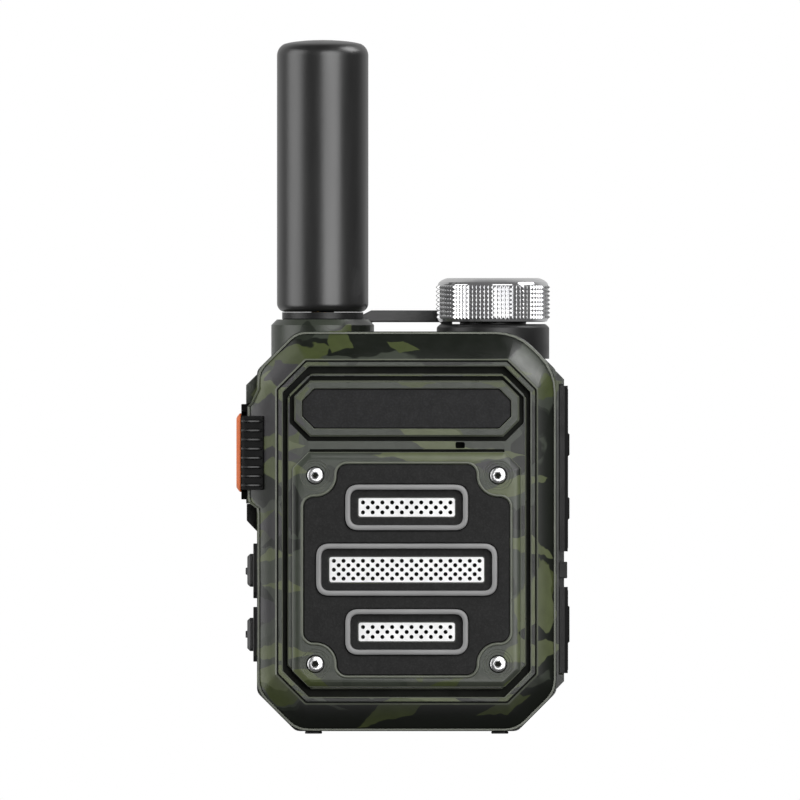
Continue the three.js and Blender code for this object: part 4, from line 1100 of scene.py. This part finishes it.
def knob_collar():
    """The black ring under the knob, with a rounded shoulder."""
    low, high = heights("knob_collar")
    bore, outer = 6.4, KNOB_COLLAR
    return turned("knob_collar_skin", KNOB, [
        (bore, low), (outer, low), (outer, high - 0.75), (outer - 0.1, high - 0.5),
        (outer - 0.55, high - 0.08), (outer - 0.75, high), (bore + 0.2, high), (bore, high - 0.2)])


stand_in("knob_collar", "_skin", knob_collar(), "black_plastic")


# ---------------------------------------------------------------- the thumb pad's ribs

RIB_COUNT = 8
RIB_PITCH = 1.6
FIRST_RIB = 2.55
# The points along a rib, across and forward, and how far each is pushed out of the pad.
RIB_PATH = [((-28.75, 7.4), (-0.2, 0.3)), ((-28.3, 8.7), (-0.2, 0.3)),
            ((-25.75, 11.2), (-0.2, 0.3)), ((-25.4, 11.3), (0.05, 0.35))]
# A rib's section: out of the pad or into it, and up or down.
RIB_SECTION = [(-1, -0.5), (1, -0.2), (1, 0.06), (-1, 0.42)]


def thumb_ribs():
    """Eight bars across the pad, each a trapezoid in section, following the pad's two slopes."""
    start = heights("ptt_frame")[0] + FIRST_RIB
    work = bmesh.new()
    for k in range(RIB_COUNT):
        z = start + k * RIB_PITCH
        rows = []
        for (u, at), (push_u, push_at) in RIB_PATH:
            rows.append([work.verts.new(facing_front(u + way * push_u, z + rise, at + way * push_at))
                         for way, rise in RIB_SECTION])
        for a, b in zip(rows, rows[1:]):
            bridge(work, a, b, len(RIB_SECTION))
        work.faces.new(rows[0])
        work.faces.new(rows[-1][::-1])
    return finished_mesh("thumb_pad_ribs", work)


piece("thumb_pad_ribs", thumb_ribs(), MATERIALS["rib_rubber"], "case", "black_rubber")


# ---------------------------------------------------------------- pieces that keep their CAD shape

SOFT_EDGES = {
    "rear_shell": 0.18, "lanyard_bar": 0.3, "ptt_frame": 0.14, "ptt_key": 0.16, "side_key_mat": 0.12,
    "side_key_upper": 0.12, "side_key_lower": 0.12, "rail_end_cap": 0.15, "jack_cover": 0.16,
    "port_cover": 0.16, "cover_block": 0.15, "battery_door": 0.2, "belt_clip": 0.35, "knob_hub": 0.15,
    "foot_front_left": 0.15, "foot_front_right": 0.15, "foot_rear_left": 0.15, "foot_rear_right": 0.15,
    "clip_pin": 0.12, "jack_block": 0.1, "usb_socket": 0.06,
}
OWN_LOOK = {"side_key_mat": "key_rubber", "side_key_upper": "key_rubber", "side_key_lower": "key_rubber",
            "ptt_frame": "pad_black"}
for node, edge in SOFT_EDGES.items():
    from_cad(node, OWN_LOOK.get(node, SLOT_OF[node]), edge)


def clip_coil():
    """The clip's torsion spring as a real coil of wire round the pin."""
    low, high = box_mm("clip_spring")
    centre = (low + high) / 2
    wire = 0.32
    radius = (high.z - low.z) / 2 - wire
    turns = 7
    per_turn = 24
    around = 10
    work = bmesh.new()
    rings = []
    total = turns * per_turn
    section = [2 * math.pi * i / around for i in range(around)]
    for k in range(total + 1):
        angle = 2 * math.pi * k / per_turn
        x = low.x + wire + (high.x - low.x - 2 * wire) * k / total
        out = Vector((0, math.cos(angle), math.sin(angle)))
        spot = Vector((x, centre.y, centre.z)) + out * radius
        rings.append([
            work.verts.new((spot + Vector((wire * math.sin(t), 0, 0)) + out * wire * math.cos(t)) * MM)
            for t in section])
    for a, b in zip(rings, rings[1:]):
        bridge(work, a, b, around)
    work.faces.new(rings[0])
    work.faces.new(rings[-1][::-1])
    return finished_mesh("clip_spring_coil", work)


stand_in("clip_spring", "_coil", clip_coil(), "steel")

for node, sizes in [(f"case_screw_{k}", CASE_SCREW) for k in range(1, 5)] + [("door_screw", DOOR_SCREW)]:
    back = box_mm(node)[1].y - AXIS_Y
    stand_in(node, "_head", socket_screw(node, facing_back, back, *sizes), "steel")

# Every CAD node gets its slot's material, and the ones seen through the openings the painted shade material,
# for the shade inside the case.
BEHIND_OPENINGS = ("microphone", "speaker", "speaker_gasket", "display_module")
for node, obj in frame["nodes"].items():
    obj.data.materials.clear()
    obj.data.materials.append(MATERIALS["groove_shade" if node in BEHIND_OPENINGS else SLOT_OF[node]])


# ---------------------------------------------------------------- floor, light and camera

FLOOR_RADIUS = 0.6
# Enough that the far floor stays pale, and little enough that the shadow still shows.
FLOOR_GLOW = 0.42


def floor():
    """Plain pale paper, much larger than the view."""
    data = bpy.data.meshes.new("studio_floor")
    work = bmesh.new()
    bmesh.ops.create_circle(work, cap_ends=True, radius=FLOOR_RADIUS, segments=96)
    work.to_mesh(data)
    work.free()
    obj = bpy.data.objects.new("studio_floor", data)
    bpy.context.scene.collection.objects.link(obj)
    look = Look("studio_paper", "f2f2f2", 0.9, specular=0.1)
    look.colour(look.ramp(look.noise(60.0, 3.0), (0.3, "f0f0f0"), (0.7, "f5f5f5")))
    data.materials.append(look.material)
    look.shader.inputs["Emission Color"].default_value = (1, 1, 1, 1)
    look.shader.inputs["Emission Strength"].default_value = FLOOR_GLOW
    obj.visible_diffuse = False
    obj.visible_glossy = False


def softbox(name, bearing, rise, distance, width, height, strength):
    """A soft light aimed at the radio. bearing is degrees round from the front, positive to the right."""
    target = (cad_low + cad_high) / 2
    turn, lift = math.radians(bearing), math.radians(rise)
    away = Vector((math.sin(turn) * math.cos(lift), -math.cos(turn) * math.cos(lift), math.sin(lift)))
    light = bpy.data.lights.new(name, "AREA")
    light.shape = "RECTANGLE"
    light.size = width
    light.size_y = height
    light.energy = strength * width * height
    obj = bpy.data.objects.new(name, light)
    obj.location = target + away * distance
    obj.rotation_euler = (-away).to_track_quat("-Z", "Y").to_euler()
    bpy.context.scene.collection.objects.link(obj)


def surroundings(seen, front, behind):
    """White to the camera. To everything else: a dim room in front, and a pale backdrop behind."""
    world = bpy.data.worlds.new("studio")
    world.use_nodes = True
    nodes, links = world.node_tree.nodes, world.node_tree.links
    nodes.clear()
    output = nodes.new("ShaderNodeOutputWorld")
    mix = nodes.new("ShaderNodeMixShader")
    links.new(nodes.new("ShaderNodeLightPath").outputs["Is Camera Ray"], mix.inputs["Fac"])
    room, backdrop = nodes.new("ShaderNodeBackground"), nodes.new("ShaderNodeBackground")
    backdrop.inputs["Color"].default_value = (1, 1, 1, 1)
    backdrop.inputs["Strength"].default_value = seen
    axes = nodes.new("ShaderNodeSeparateXYZ")
    links.new(nodes.new("ShaderNodeTexCoord").outputs["Generated"], axes.inputs[0])
    level = nodes.new("ShaderNodeMapRange")
    level.interpolation_type = "SMOOTHSTEP"
    for name, value in (("From Min", 0.1), ("From Max", 0.75), ("To Min", front), ("To Max", behind)):
        level.inputs[name].default_value = value
    links.new(axes.outputs["Y"], level.inputs["Value"])
    links.new(level.outputs[0], room.inputs["Strength"])
    room.inputs["Color"].default_value = (1, 1, 1, 1)
    links.new(room.outputs[0], mix.inputs[1])
    links.new(backdrop.outputs[0], mix.inputs[2])
    links.new(mix.outputs[0], output.inputs["Surface"])
    bpy.context.scene.world = world


floor()
surroundings(seen=1.0, front=0.1, behind=0.65)
softbox("left_softbox", -75, 8, 0.55, 0.42, 0.8, 8)
softbox("front_right_softbox", 21, 12, 0.65, 0.5, 0.8, 12)
softbox("upper_right_softbox", 95, 48, 0.5, 0.25, 0.25, 18)

FRAME_WIDTH = 0.140
SIDE_SHIFT = -0.52 * MM
BELOW_MIDDLE = 2.3 * MM
IN_FRONT = 1.0
camera_data = bpy.data.cameras.new("camera")
camera_data.type = "ORTHO"
camera_data.ortho_scale = FRAME_WIDTH
camera = bpy.data.objects.new("camera", camera_data)
aim = (cad_low + cad_high) / 2
camera.location = (aim.x + SIDE_SHIFT, cad_low.y - IN_FRONT, aim.z - BELOW_MIDDLE)
camera.rotation_euler = (math.radians(90), 0, 0)
bpy.context.scene.collection.objects.link(camera)
bpy.context.scene.camera = camera
bpy.context.scene.view_settings.view_transform = "Standard"
